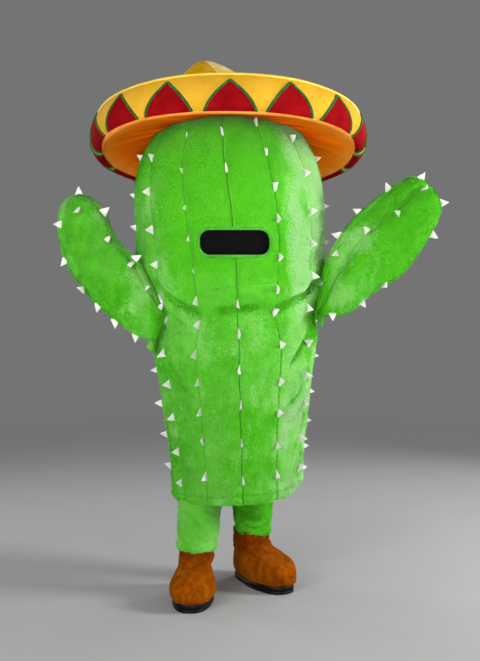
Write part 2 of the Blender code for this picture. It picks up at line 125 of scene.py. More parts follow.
def strokes(s, z, lines):
    """Height of a set of soft folds drawn on a surface with flat coordinates s, z. Each is (points, width, height): a ridge, or a valley when the height is negative, that dies away at both ends."""
    total = np.zeros_like(s)
    for pts, width, height in lines:
        pts = np.asarray(pts, float)
        reach = 3 * width
        near = (s > pts[:, 0].min() - reach) & (s < pts[:, 0].max() + reach) & (z > pts[:, 1].min() - reach) & (z < pts[:, 1].max() + reach)
        if not near.any():
            continue
        q = np.stack([s[near], z[near]], -1)
        legs = np.linalg.norm(np.diff(pts, axis=0), axis=1)
        run = np.concatenate([[0], np.cumsum(legs)])
        best = np.full(len(q), 9.0)
        along = np.zeros(len(q))
        for i in range(len(legs)):
            d = (pts[i + 1] - pts[i]) / legs[i]
            t = np.clip((q - pts[i]) @ d, 0, legs[i])
            dist = np.linalg.norm(q - pts[i] - t[:, None] * d, axis=1)
            hit = dist < best
            best[hit] = dist[hit]
            along[hit] = (run[i] + t[hit]) / run[-1]
        fade = smooth(along / 0.3) * smooth((1 - along) / 0.3)
        total[near] += height * np.exp(-(best / width) ** 2) * fade
    return total


# ------------------------------------------------------------------ meshes
def mesh_object(name, verts, faces, material, smooth_shade=True):
    """A mesh from arrays. faces is one array of quads or triangles, or a list of such arrays; material may be a list with face_index set later."""
    verts = (np.asarray(verts, float).reshape(-1, 3) + SHIFT).astype(np.float32)
    groups = faces if isinstance(faces, list) else [faces]
    mesh = bpy.data.meshes.new(name)
    mesh.vertices.add(len(verts))
    mesh.vertices.foreach_set("co", verts.ravel())
    loops = np.concatenate([g.ravel() for g in groups]).astype(np.int32)
    sizes = np.concatenate([np.full(len(g), g.shape[1]) for g in groups])
    mesh.loops.add(len(loops))
    mesh.loops.foreach_set("vertex_index", loops)
    mesh.polygons.add(len(sizes))
    mesh.polygons.foreach_set("loop_start", (np.cumsum(sizes) - sizes).astype(np.int32))
    mesh.update(calc_edges=True)
    mesh.validate()
    if smooth_shade:
        mesh.shade_smooth()
    obj = bpy.data.objects.new(name, mesh)
    bpy.context.scene.collection.objects.link(obj)
    for m in material if isinstance(material, (list, tuple)) else [material]:
        mesh.materials.append(m)
    return obj


def grid_faces(rows, cols, wrap=True, start=0, flip=False):
    """Quads of a rows x cols grid of points, whose columns close into a ring when wrap is set."""
    i, j = np.meshgrid(np.arange(rows - 1), np.arange(cols if wrap else cols - 1), indexing="ij")
    k = (j + 1) % cols
    f = np.stack([i * cols + j, i * cols + k, (i + 1) * cols + k, (i + 1) * cols + j], -1).reshape(-1, 4) + start
    return f[:, ::-1] if flip else f


def fan(ring, tip, flip=False):
    """Triangles from a ring of point numbers to one tip."""
    ring = np.asarray(ring)
    f = np.stack([ring, np.roll(ring, -1), np.full(len(ring), tip)], -1)
    return f[:, ::-1] if flip else f


def tube(path, radius, sides=10, closed=False, flat=1.0, up=None):
    """Points and quads of a tube along a path, an array of points. radius may be one per point; flat squashes it along the second direction."""
    path = np.asarray(path, float)
    n = len(path)
    if closed:
        t = unit(np.roll(path, -1, 0) - np.roll(path, 1, 0))
    else:
        t = unit(np.gradient(path, axis=0))
    ref = np.tile(np.array([0, 0, 1.0]), (n, 1)) if up is None else np.asarray(up, float)
    a = unit(np.cross(t, ref))
    b = np.cross(a, t)
    r = np.broadcast_to(np.asarray(radius, float), (n,))[:, None, None]
    ang = np.arange(sides) / sides * TAU
    ring = a[:, None] * np.cos(ang)[None, :, None] + b[:, None] * (np.sin(ang) * flat)[None, :, None]
    pts = path[:, None] + r * ring
    f = grid_faces(n, sides)
    if closed:
        j = np.arange(sides)
        last = (n - 1) * sides
        f = np.concatenate([f, np.stack([last + j, last + (j + 1) % sides, (j + 1) % sides, j], -1)])
    else:
        f = [f]
        c = pts.reshape(-1, 3)
        pts = np.concatenate([c, path[:1], path[-1:]])
        f.append(fan(np.arange(sides), len(c), flip=True))
        f.append(fan(np.arange(sides) + (n - 1) * sides, len(c) + 1))
    return pts.reshape(-1, 3), f


class Heap:
    """Collects several sets of points and faces into one mesh."""

    def __init__(self):
        self.v, self.f, self.n = [], {3: [], 4: []}, 0

    def add(self, verts, faces):
        verts = np.asarray(verts, float).reshape(-1, 3)
        for g in faces if isinstance(faces, list) else [faces]:
            self.f[g.shape[1]].append(g + self.n)
        self.v.append(verts)
        self.n += len(verts)

    def make(self, name, material, **k):
        groups = [np.concatenate(g) for g in self.f.values() if g]
        return mesh_object(name, np.concatenate(self.v), groups, material, **k)


def carry(obj, slot, *nodes):
    """The piece rides on the one body and stands for the CAD nodes named, which are hidden; slot is not used."""
    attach(obj, "root")
    if nodes:
        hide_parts(*nodes)
    return obj


# ------------------------------------------------------------------ materials
def new_material(name):
    m = bpy.data.materials.new(name)
    m.use_nodes = True
    return m, m.node_tree, m.node_tree.nodes["Principled BSDF"]


def cloth(name, dark, light, size=0.12, fine=0.012, fine_mix=0.35, rough=0.9, sheen=0.3, sheen_rough=0.5, tint=(1, 1, 1), bump=0.25, grain=0.0016, bump_mm=1.0, stretch=(1, 1, 1), specular=0.3, low=0.36, high=0.64):
    """A cloth whose colour wanders between two shades in broad and fine patches, with a fine raised grain."""
    m, tree, p = new_material(name)
    nodes, links = tree.nodes, tree.links
    place = nodes.new("ShaderNodeTexCoord")
    scale = nodes.new("ShaderNodeMapping")
    scale.inputs["Scale"].default_value = stretch
    links.new(place.outputs["Object"], scale.inputs["Vector"])

    def cloud(feature, detail, roughness=0.55):
        n = nodes.new("ShaderNodeTexNoise")
        n.inputs["Scale"].default_value = 1 / feature
        n.inputs["Detail"].default_value = detail
        n.inputs["Roughness"].default_value = roughness
        links.new(scale.outputs["Vector"], n.inputs["Vector"])
        return n.outputs["Fac"]

    mix = nodes.new("ShaderNodeMix")
    mix.inputs["Factor"].default_value = fine_mix
    links.new(cloud(size, 3), mix.inputs["A"])
    links.new(cloud(fine, 2), mix.inputs["B"])
    ramp = nodes.new("ShaderNodeValToRGB")
    ramp.color_ramp.elements[0].position = low
    ramp.color_ramp.elements[1].position = high
    ramp.color_ramp.elements[0].color = (*dark, 1)
    ramp.color_ramp.elements[1].color = (*light, 1)
    links.new(mix.outputs["Result"], ramp.inputs["Fac"])
    links.new(ramp.outputs["Color"], p.inputs["Base Color"])
    b = nodes.new("ShaderNodeBump")
    b.inputs["Strength"].default_value = bump
    b.inputs["Distance"].default_value = bump_mm / 1000
    links.new(cloud(grain, 2, 0.7), b.inputs["Height"])
    links.new(b.outputs["Normal"], p.inputs["Normal"])
    p.inputs["Roughness"].default_value = rough
    p.inputs["Sheen Weight"].default_value = sheen
    p.inputs["Sheen Roughness"].default_value = sheen_rough
    p.inputs["Sheen Tint"].default_value = (*tint, 1)
    p.inputs["Specular IOR Level"].default_value = specular
    return m


def plain(name, colour, rough=0.9, sheen=0.0, tint=(1, 1, 1), specular=0.2, sheen_rough=0.4):
    """One even colour, for the many small pieces whose shades are dealt out piece by piece."""
    m, tree, p = new_material(name)
    p.inputs["Base Color"].default_value = (*colour, 1)
    p.inputs["Roughness"].default_value = rough
    p.inputs["Sheen Weight"].default_value = sheen
    p.inputs["Sheen Roughness"].default_value = sheen_rough
    p.inputs["Sheen Tint"].default_value = (*tint, 1)
    p.inputs["Specular IOR Level"].default_value = specular
    return m


PLUSH = cloth("plush_skin", (0.055, 0.340, 0.008), (0.090, 0.440, 0.016), size=0.11, fine=0.010, rough=1.0, sheen=0.20, tint=(0.8, 1.0, 0.7), bump=0.7, grain=0.0022, bump_mm=1.6, specular=0.1)
# the cloth under the pile's painted highlight and painted sheen, painted pale
PLUSH_PALE = cloth("plush_skin_pale", (0.130, 0.430, 0.060), (0.190, 0.490, 0.110), size=0.11, fine=0.010, rough=1.0, sheen=0.20, tint=(0.9, 1.0, 0.85), bump=0.7, grain=0.0022, bump_mm=1.6, specular=0.1)
SEAM = plain("seam_shadow", (0.020, 0.170, 0.004), rough=1.0)
LEG_PLUSH = cloth("leg_plush_skin", (0.060, 0.360, 0.010), (0.110, 0.480, 0.022), size=0.07, fine=0.009, rough=1.0, sheen=0.20, tint=(0.8, 1.0, 0.7), bump=0.7, grain=0.0022, bump_mm=1.6, specular=0.1)
# pile shades: deep, mid and light lie in random patches, and deep also carries painted shade; bright and pale carry
# painted highlight and painted sheen; shadow carries painted shadow
PILE = [
    plain("pile_deep", (0.060, 0.408, 0.007), rough=0.80, sheen=0.04, tint=(0.80, 1.0, 0.65), specular=0.06, sheen_rough=0.35),
    plain("pile_mid", (0.086, 0.440, 0.021), rough=0.70, sheen=0.26, tint=(0.90, 1.0, 0.82), specular=0.14, sheen_rough=0.35),
    plain("pile_light", (0.124, 0.480, 0.044), rough=0.68, sheen=0.36, tint=(0.95, 1.0, 0.90), specular=0.18, sheen_rough=0.35),
    plain("pile_bright", (0.182, 0.515, 0.092), rough=0.72, sheen=0.34, tint=(0.98, 1.0, 0.95), specular=0.10, sheen_rough=0.45),
    plain("pile_pale", (0.272, 0.522, 0.200), rough=0.72, sheen=0.34, tint=(0.98, 1.0, 0.95), specular=0.09, sheen_rough=0.45),
    plain("pile_shadow", (0.034, 0.270, 0.004), rough=0.85, sheen=0.05, tint=(0.9, 1.0, 0.8), specular=0.05, sheen_rough=0.35),
]
FELT = cloth("white_felt_puffy", (0.54, 0.54, 0.49), (0.70, 0.70, 0.65), size=0.02, fine=0.004, rough=0.95, sheen=0.2, bump=0.5, grain=0.0012, bump_mm=0.8)
MESH_CLOTH = cloth("black_mesh_cloth", (0.0015, 0.0015, 0.0018), (0.004, 0.004, 0.0045), size=0.03, fine=0.003, rough=0.85, sheen=0.0, bump=0.3, grain=0.001, specular=0.06)
# painted shade: a black sheet standing in for the dark inside of the head, seen through the window
INSIDE_SHADE = cloth("painted_inside_shade", (0.0008, 0.0008, 0.0008), (0.002, 0.002, 0.002), size=0.05, fine=0.005, rough=1.0, sheen=0.0, specular=0.0)
BINDING = cloth("green_binding", (0.024, 0.220, 0.005), (0.060, 0.360, 0.014), size=0.02, fine=0.004, rough=0.95, sheen=0.20, tint=(0.7, 1.0, 0.6), bump=0.6, grain=0.0014, specular=0.1)
LINING = cloth("lining_cloth", (0.035, 0.200, 0.016), (0.060, 0.300, 0.028), size=0.06, fine=0.006, rough=0.9, sheen=0.2, bump=0.3, grain=0.0012)
SUEDE = cloth("boot_suede_cloth", (0.085, 0.0125, 0.0002), (0.275, 0.067, 0.0008), size=0.030, fine=0.006, fine_mix=0.25, rough=0.9, sheen=0.12, sheen_rough=0.40, tint=(1.0, 0.45, 0.02), bump=0.6, grain=0.0014, bump_mm=0.8, specular=0.01, low=0.28, high=0.74, stretch=(1.0, 1.0, 0.5))
RUBBER = cloth("sole_black_rubber", (0.0006, 0.0006, 0.0008), (0.0014, 0.0014, 0.0018), size=0.02, fine=0.003, rough=0.42, sheen=0.0, bump=0.60, grain=0.004, bump_mm=1.4, specular=0.14)
YELLOW = cloth("hat_yellow_satin", (0.460, 0.240, 0.011), (0.545, 0.300, 0.023), size=0.12, fine=0.008, rough=0.7, sheen=0.0, tint=(1.0, 0.9, 0.5), bump=0.18, grain=0.0011, bump_mm=0.4, specular=0.03)
GOLD = cloth("hat_crown_cloth", (0.440, 0.215, 0.0015), (0.620, 0.345, 0.005), size=0.06, fine=0.008, rough=0.7, sheen=0.0, bump=0.2, grain=0.0011, bump_mm=0.4, specular=0.03, stretch=(1.0, 1.0, 0.35))
# painted highlight: a paler crown cloth for the gore the key light falls on
CROWN_PAINTED_HIGHLIGHT = cloth("hat_crown_painted_highlight", (0.660, 0.420, 0.060), (0.860, 0.660, 0.260), size=0.06, fine=0.008, rough=0.5, sheen=0.0, bump=0.2, grain=0.0011, bump_mm=0.4, specular=0.20, stretch=(1.0, 1.0, 0.35))
ORANGE = cloth("hat_orange_cloth", (0.880, 0.240, 0.022), (0.960, 0.320, 0.060), size=0.16, fine=0.010, fine_mix=0.2, rough=0.8, sheen=0.0, tint=(1.0, 0.7, 0.3), bump=0.18, grain=0.0011, bump_mm=0.4, specular=0.02)
WELT = cloth("hat_yellow_welt", (0.640, 0.400, 0.030), (0.720, 0.470, 0.050), size=0.05, fine=0.006, rough=0.5, sheen=0.10, tint=(1.0, 0.9, 0.5), bump=0.2, grain=0.001, bump_mm=0.3, specular=0.15)
RED = cloth("hat_red_felt", (0.145, 0.0010, 0.0022), (0.220, 0.0028, 0.0042), size=0.05, fine=0.006, rough=0.9, sheen=0.0, bump=0.35, grain=0.0010, bump_mm=0.5, specular=0.02)
CORD = cloth("hat_green_cord", (0.002, 0.070, 0.013), (0.005, 0.120, 0.026), size=0.03, fine=0.004, rough=0.8, sheen=0.05, tint=(0.5, 1.0, 0.6), bump=0.4, grain=0.0012, bump_mm=0.5, specular=0.05)
# painted shade: the brim's underside is painted darker and redder towards the head, where the brim shades it, and keeps
# its own orange towards its edge
orange_tree = ORANGE.node_tree
orange_place = next(n for n in orange_tree.nodes if n.type == "TEX_COORD")
reach = orange_tree.nodes.new("ShaderNodeVectorMath")
reach.operation = "DISTANCE"
reach.inputs[1].default_value = (-0.045 - 0.0379, -0.010 - 0.0069, 1.846)
orange_tree.links.new(orange_place.outputs["Object"], reach.inputs[0])
outward = orange_tree.nodes.new("ShaderNodeValToRGB")
outward.color_ramp.elements[0].position, outward.color_ramp.elements[1].position = 0.33, 0.56
outward.color_ramp.elements[0].color, outward.color_ramp.elements[1].color = (0.92, 0.38, 0.005, 1), (1, 1, 1, 1)
stop = outward.color_ramp.elements.new(0.47)
stop.color = (1.0, 0.60, 0.04, 1)
orange_tree.links.new(reach.outputs["Value"], outward.inputs["Fac"])
brim_painted_shade = orange_tree.nodes.new("ShaderNodeMix")
brim_painted_shade.data_type, brim_painted_shade.blend_type = "RGBA", "MULTIPLY"
brim_painted_shade.inputs[0].default_value = 1.0
orange_ramp = next(n for n in orange_tree.nodes if n.type == "VALTORGB" and n != outward)
orange_tree.links.new(orange_ramp.outputs["Color"], brim_painted_shade.inputs[6])
orange_tree.links.new(outward.outputs["Color"], brim_painted_shade.inputs[7])
orange_tree.links.new(brim_painted_shade.outputs[2], orange_tree.nodes["Principled BSDF"].inputs["Base Color"])
# painted shade: the boots' shafts are painted darker than their feet, for the shade under the trouser cuffs and in the
# shaft's folds
suede_tree = SUEDE.node_tree
suede_place = next(n for n in suede_tree.nodes if n.type == "TEX_COORD")
suede_split = suede_tree.nodes.new("ShaderNodeSeparateXYZ")
suede_tree.links.new(suede_place.outputs["Object"], suede_split.inputs[0])
shaft_painted_shade = suede_tree.nodes.new("ShaderNodeValToRGB")
shaft_painted_shade.color_ramp.elements[0].position, shaft_painted_shade.color_ramp.elements[1].position = 0.120, 0.190
shaft_painted_shade.color_ramp.elements[0].color, shaft_painted_shade.color_ramp.elements[1].color = (1, 1, 1, 1), (0.66, 0.50, 0.9, 1)
suede_tree.links.new(suede_split.outputs["Z"], shaft_painted_shade.inputs["Fac"])
suede_mix = suede_tree.nodes.new("ShaderNodeMix")
suede_mix.data_type, suede_mix.blend_type = "RGBA", "MULTIPLY"
suede_mix.inputs[0].default_value = 1.0
suede_ramp = next(n for n in suede_tree.nodes if n.type == "VALTORGB" and n != shaft_painted_shade)
suede_tree.links.new(suede_ramp.outputs["Color"], suede_mix.inputs[6])
suede_tree.links.new(shaft_painted_shade.outputs["Color"], suede_mix.inputs[7])
suede_tree.links.new(suede_mix.outputs[2], suede_tree.nodes["Principled BSDF"].inputs["Base Color"])
FLOOR = cloth("studio_floor", (0.27, 0.27, 0.27), (0.285, 0.285, 0.285), size=1.5, fine=0.3, rough=0.9, sheen=0.0, bump=0.05, grain=0.01, specular=0.05)

# ------------------------------------------------------------------ camera, light and floor
scene = bpy.context.scene
camera_data = bpy.data.cameras.new("camera")
camera = bpy.data.objects.new("camera", camera_data)
scene.collection.objects.link(camera)
camera.location = Vector((0.003, -4.73, 1.375)) + Vector(SHIFT)
camera.rotation_euler = (math.pi / 2 - math.atan(0.0565), 0, 0)
camera_data.sensor_width = 36
camera_data.lens = 1106 / 661 * 36
camera_data.clip_end = 200
scene.camera = camera

scene.view_settings.view_transform = "Standard"
scene.view_settings.look = "None"
scene.view_settings.exposure = 0.0


def softbox(name, place, aim, size, power, colour=(1, 1, 1)):
    data = bpy.data.lights.new(name, "AREA")
    data.shape = "RECTANGLE"
    data.size, data.size_y = size
    data.energy = power
    data.color = colour
    lamp = bpy.data.objects.new(name, data)
    scene.collection.objects.link(lamp)
    lamp.location = place
    lamp.rotation_euler = (Vector(aim) - Vector(place)).to_track_quat("-Z", "Y").to_euler()
    return lamp


softbox("key_softbox", (3.7, -0.8, 2.1), (0, 0, 1.6), (1.2, 1.5), 250)
softbox("fill_softbox", (-2.0, -3.5, 1.9), (0, 0, 1.45), (1.8, 1.4), 128)
softbox("front_softbox", (0.6, -5.2, 0.35), (0, 0, 1.8), (2.4, 0.6), 80)
head_light = softbox("head_softbox", (0.2, -5.2, 1.55), (-0.1, 0, 1.66), (1.0, 0.6), 2.5)
head_light.data.spread = rad(24)
softbox("rim_right_softbox", (2.0, 2.8, 2.0), (0, 0, 1.4), (1.2, 2.0), 55)
softbox("rim_left_softbox", (-2.6, 2.0, 2.0), (0, 0, 1.4), (1.2, 2.0), 36)

world = bpy.data.worlds.new("studio")
world.use_nodes = True
sky = world.node_tree
where = sky.nodes.new("ShaderNodeTexCoord")
split = sky.nodes.new("ShaderNodeSeparateXYZ")
shade = sky.nodes.new("ShaderNodeValToRGB")
shade.color_ramp.elements[0].position = 0.26
shade.color_ramp.elements[0].color = (0.175, 0.175, 0.175, 1)
shade.color_ramp.elements[1].position = 0.85
shade.color_ramp.elements[1].color = (0.50, 0.50, 0.50, 1)
sky.links.new(where.outputs["Generated"], split.inputs["Vector"])
sky.links.new(split.outputs["Z"], shade.inputs["Fac"])
sky.links.new(shade.outputs["Color"], sky.nodes["Background"].inputs["Color"])
sky.nodes["Background"].inputs["Strength"].default_value = 1.0
scene.world = world

floor_mesh = bpy.data.meshes.new("studio_floor")
ring = [(40 * math.sin(TAU * i / 64), 40 * math.cos(TAU * i / 64), -0.0005) for i in range(64)]
floor_mesh.from_pydata(ring, [], [list(range(63, -1, -1))])
floor_mesh.materials.append(FLOOR)
# far off, the floor runs into the plain backdrop without a line
tree = FLOOR.node_tree
out_node = next(n for n in tree.nodes if n.type == "OUTPUT_MATERIAL")
lit = out_node.inputs["Surface"].links[0].from_socket
place = tree.nodes.new("ShaderNodeTexCoord")
length = tree.nodes.new("ShaderNodeVectorMath")
length.operation = "LENGTH"
tree.links.new(place.outputs["Object"], length.inputs[0])
far = tree.nodes.new("ShaderNodeMapRange")
far.interpolation_type = "SMOOTHSTEP"
far.inputs["From Min"].default_value = 1.2
far.inputs["From Max"].default_value = 6.5
tree.links.new(length.outputs["Value"], far.inputs["Value"])
glow = tree.nodes.new("ShaderNodeEmission")
glow.inputs["Color"].default_value = (0.175, 0.175, 0.175, 1)
blend = tree.nodes.new("ShaderNodeMixShader")
tree.links.new(far.outputs["Result"], blend.inputs["Fac"])
tree.links.new(lit, blend.inputs[1])
tree.links.new(glow.outputs["Emission"], blend.inputs[2])
tree.links.new(blend.outputs["Shader"], out_node.inputs["Surface"])
floor = bpy.data.objects.new("studio_floor", floor_mesh)
scene.collection.objects.link(floor)

# ------------------------------------------------------------------ the body: one ribbed skin from the hem to under the hat
HEM_Z, SPLIT_Z, DOME_Z, TOP_Z = 0.400, 1.160, 1.500, 2.030
HEM_R, HEAD_R, DOME_POWER, DEPTH_RATIO = 0.286, 0.421, 2.8, 0.93
RIBS = 12
FLAT_R = 0.36           # radius at which folds are laid out flat
HEM_EDGE = 0.4065
WINDOW_Z, WINDOW_W, WINDOW_H, WINDOW_CORNER = 1.475, 0.290, 0.108, 0.044


def body_radius(z):
    z = np.asarray(z, float)
    low = HEM_R + (HEAD_R - HEM_R) * smooth((z - HEM_Z) / (DOME_Z - HEM_Z)) ** 1.18
    t = np.clip((z - DOME_Z) / (TOP_Z - DOME_Z), 0, 1)
    return np.where(z <= DOME_Z, low, HEAD_R * np.maximum(0.0, 1 - t ** DOME_POWER) ** (1 / DOME_POWER))


def axis_x(z):
    return -0.003 - 0.0370 * (z - 0.410)


def facing(z):
    """Direction of the middle seam, which leans a little to one side on the head."""
    return np.radians(np.interp(z, [1.20, 1.40, 1.62, 1.74, 1.95], [4.2, 3.8, 1.7, -0.3, -5.0]))


def seam_spread(phi, z):
    """The gores keep nearly one width, so the front seams lie closer together on the head than on the tunic."""
    amount = np.interp(z, [0.45, 0.70, 1.02, 1.20, 1.30, 1.50, 1.74, 2.00], [-4.5, -3.0, -1.0, 11.0, 11.0, 5.5, 5.0, 5.0])
    return phi - np.radians(amount) * np.sin(phi)


def window_distance(x, z):
    """Distance to the see-through window's round-cornered outline, negative inside."""
    qx = np.abs(x) - (WINDOW_W / 2 - WINDOW_CORNER)
    qz = np.abs(z - WINDOW_Z) - (WINDOW_H / 2 - WINDOW_CORNER)
    return np.hypot(np.maximum(qx, 0), np.maximum(qz, 0)) + np.minimum(np.maximum(qx, qz), 0) - WINDOW_CORNER


def deg_line(*pts):
    return [(rad(a) * FLAT_R, z) for a, z in pts]


# soft folds: points as (degrees from the middle seam, height), width and height in metres
BODY_FOLDS = [
    (deg_line((-72, 1.37), (-60, 1.30), (-51.7, 1.252), (-42, 1.216), (-32.5, 1.190), (-22, 1.180)), 0.024, -0.016),
    (deg_line((-64, 1.39), (-54, 1.325), (-44, 1.278), (-32, 1.250)), 0.024, 0.006),
    (deg_line((-66, 1.215), (-54, 1.178), (-42, 1.140), (-31, 1.118)), 0.020, -0.006),
    (deg_line((-62, 1.175), (-50, 1.130), (-38, 1.085)), 0.018, 0.005),
    (deg_line((-27, 1.192), (-12, 1.206), (0, 1.212), (14, 1.218), (27, 1.215)), 0.030, -0.0100),
    (deg_line((-24, 1.276), (-10, 1.272), (6, 1.276), (22, 1.292)), 0.024, 0.005),
    (deg_line((74, 1.36), (64, 1.302), (57.5, 1.268), (40.9, 1.238), (29.3, 1.202), (19, 1.184)), 0.023, -0.0155),
    (deg_line((72, 1.42), (60, 1.350), (50, 1.305), (38, 1.272), (28, 1.245)), 0.024, 0.006),
    (deg_line((70, 1.225), (58, 1.200), (46, 1.165), (34, 1.135)), 0.020, 0.006),
    (deg_line((56.7, 1.60), (46, 1.52), (38, 1.43), (33, 1.36)), 0.026, -0.004),
    (deg_line((-62, 1.04), (-55, 0.978), (-46.3, 0.894), (-37, 0.848)), 0.022, -0.009),
    (deg_line((-60, 1.07), (-50, 1.00), (-40, 0.93), (-30, 0.89)), 0.022, 0.007),
    (deg_line((-66, 0.88), (-60.7, 0.837), (-51.4, 0.775), (-40.5, 0.73)), 0.020, -0.008),
    (deg_line((-62, 0.79), (-52, 0.72), (-42, 0.66)), 0.018, 0.005),
    (deg_line((76, 1.150), (64, 1.105), (52, 1.055), (42, 1.000), (34, 0.940)), 0.022, -0.009),
    (deg_line((74, 1.065), (62, 1.015), (50, 0.960), (40, 0.905)), 0.020, 0.007),
    (deg_line((66, 0.93), (59.4, 0.904), (48.2, 0.839), (33.3, 0.787)), 0.018, -0.009),
    (deg_line((64, 0.885), (54.8, 0.830), (42, 0.775), (32, 0.745)), 0.016, 0.006),
    (deg_line((62, 0.83), (54.8, 0.794), (44, 0.752), (34, 0.715)), 0.014, -0.006),
    (deg_line((50, 0.70), (47, 0.64), (49, 0.58), (46, 0.52)), 0.012, 0.006),
    (deg_line((55, 0.68), (53, 0.62), (55, 0.56), (52, 0.50)), 0.010, -0.006),
    (deg_line((42, 0.66), (40, 0.60), (43, 0.55)), 0.010, -0.004),
    (deg_line((-12, 1.02), (-8, 0.92), (-12, 0.80)), 0.030, -0.003),
    (deg_line((14, 0.98), (18, 0.86), (15, 0.72)), 0.030, -0.003),
    (deg_line((-20, 0.66), (-16, 0.56), (-19, 0.48)), 0.022, -0.003),
    (deg_line((10, 0.62), (14, 0.54), (10, 0.47)), 0.020, -0.003),
    # the back, where the hood sags over the tunic and the sides are drawn in by the arms
    (deg_line((104, 1.36), (120, 1.29), (140, 1.225), (164, 1.205)), 0.024, -0.011),
    (deg_line((102, 1.41), (118, 1.34), (138, 1.275), (162, 1.255)), 0.026, 0.007),
    (deg_line((-104, 1.33), (-122, 1.26), (-142, 1.205), (-166, 1.190)), 0.024, -0.011),
    (deg_line((-102, 1.38), (-120, 1.31), (-140, 1.255), (-164, 1.240)), 0.026, 0.007),
    (deg_line((102, 1.10), (116, 1.02), (130, 0.92), (140, 0.85)), 0.020, -0.009),
    (deg_line((100, 1.14), (114, 1.06), (130, 0.97), (144, 0.91)), 0.020, 0.007),
    (deg_line((-102, 1.08), (-116, 1.00), (-132, 0.91), (-146, 0.86)), 0.020, -0.009),
    (deg_line((-100, 0.92), (-112, 0.84), (-126, 0.76)), 0.018, -0.007),
    (deg_line((106, 0.86), (118, 0.78), (130, 0.72)), 0.018, -0.007),
    (deg_line((160, 0.95), (164, 0.82), (158, 0.68)), 0.026, -0.004),
    (deg_line((-150, 0.80), (-154, 0.68), (-150, 0.56)), 0.024, -0.004),
]


def chin_seam(phi):
    """Height of the short cross seam between the two seams beside the middle one."""
    return 1.301 + 0.014 * (phi / rad(30)) + 0.003 * (phi / rad(30)) ** 2


# columns crowd at the seams; rows crowd at the cross seam and the hem
HALF = np.array([0, 1.4, 2.8, 4.4, 6.4, 9, 12.5, 17, 22.5, 29, 36, 44, 52.5, 61, 70, 79.5, 89.5, 99.5]) / 110 * 0.5
GORE = np.concatenate([HALF, [0.5], 1 - HALF[:0:-1]])
COLS_PER_GORE = len(GORE)
BODY_COLS = COLS_PER_GORE * RIBS


def body_levels():
    levels = list(np.arange(HEM_EDGE, 0.480, 0.0042)) + list(np.arange(0.480, 1.265, 0.0066)) + list(np.arange(1.265, 1.345, 0.0024)) + list(np.arange(1.345, 1.50, 0.0062))
    u = np.linspace(0, 1, 74)[1:]
    dome = DOME_Z + (1.992 - DOME_Z) * np.sin(u * math.pi / 2)
    return np.array(levels + [DOME_Z] + list(dome))


LEVELS = body_levels()
gore_index = np.repeat(np.arange(RIBS), COLS_PER_GORE)
gore_t = np.tile(GORE, RIBS)
seam_of = np.where(gore_t <= 0.5, gore_index, gore_index + 1)
PHI0 = (gore_index + gore_t) * TAU / RIBS
OFF = PHI0 - seam_of * TAU / RIBS            # signed angle from the nearest seam
PHI_SIGNED = (PHI0 + math.pi) % TAU - math.pi


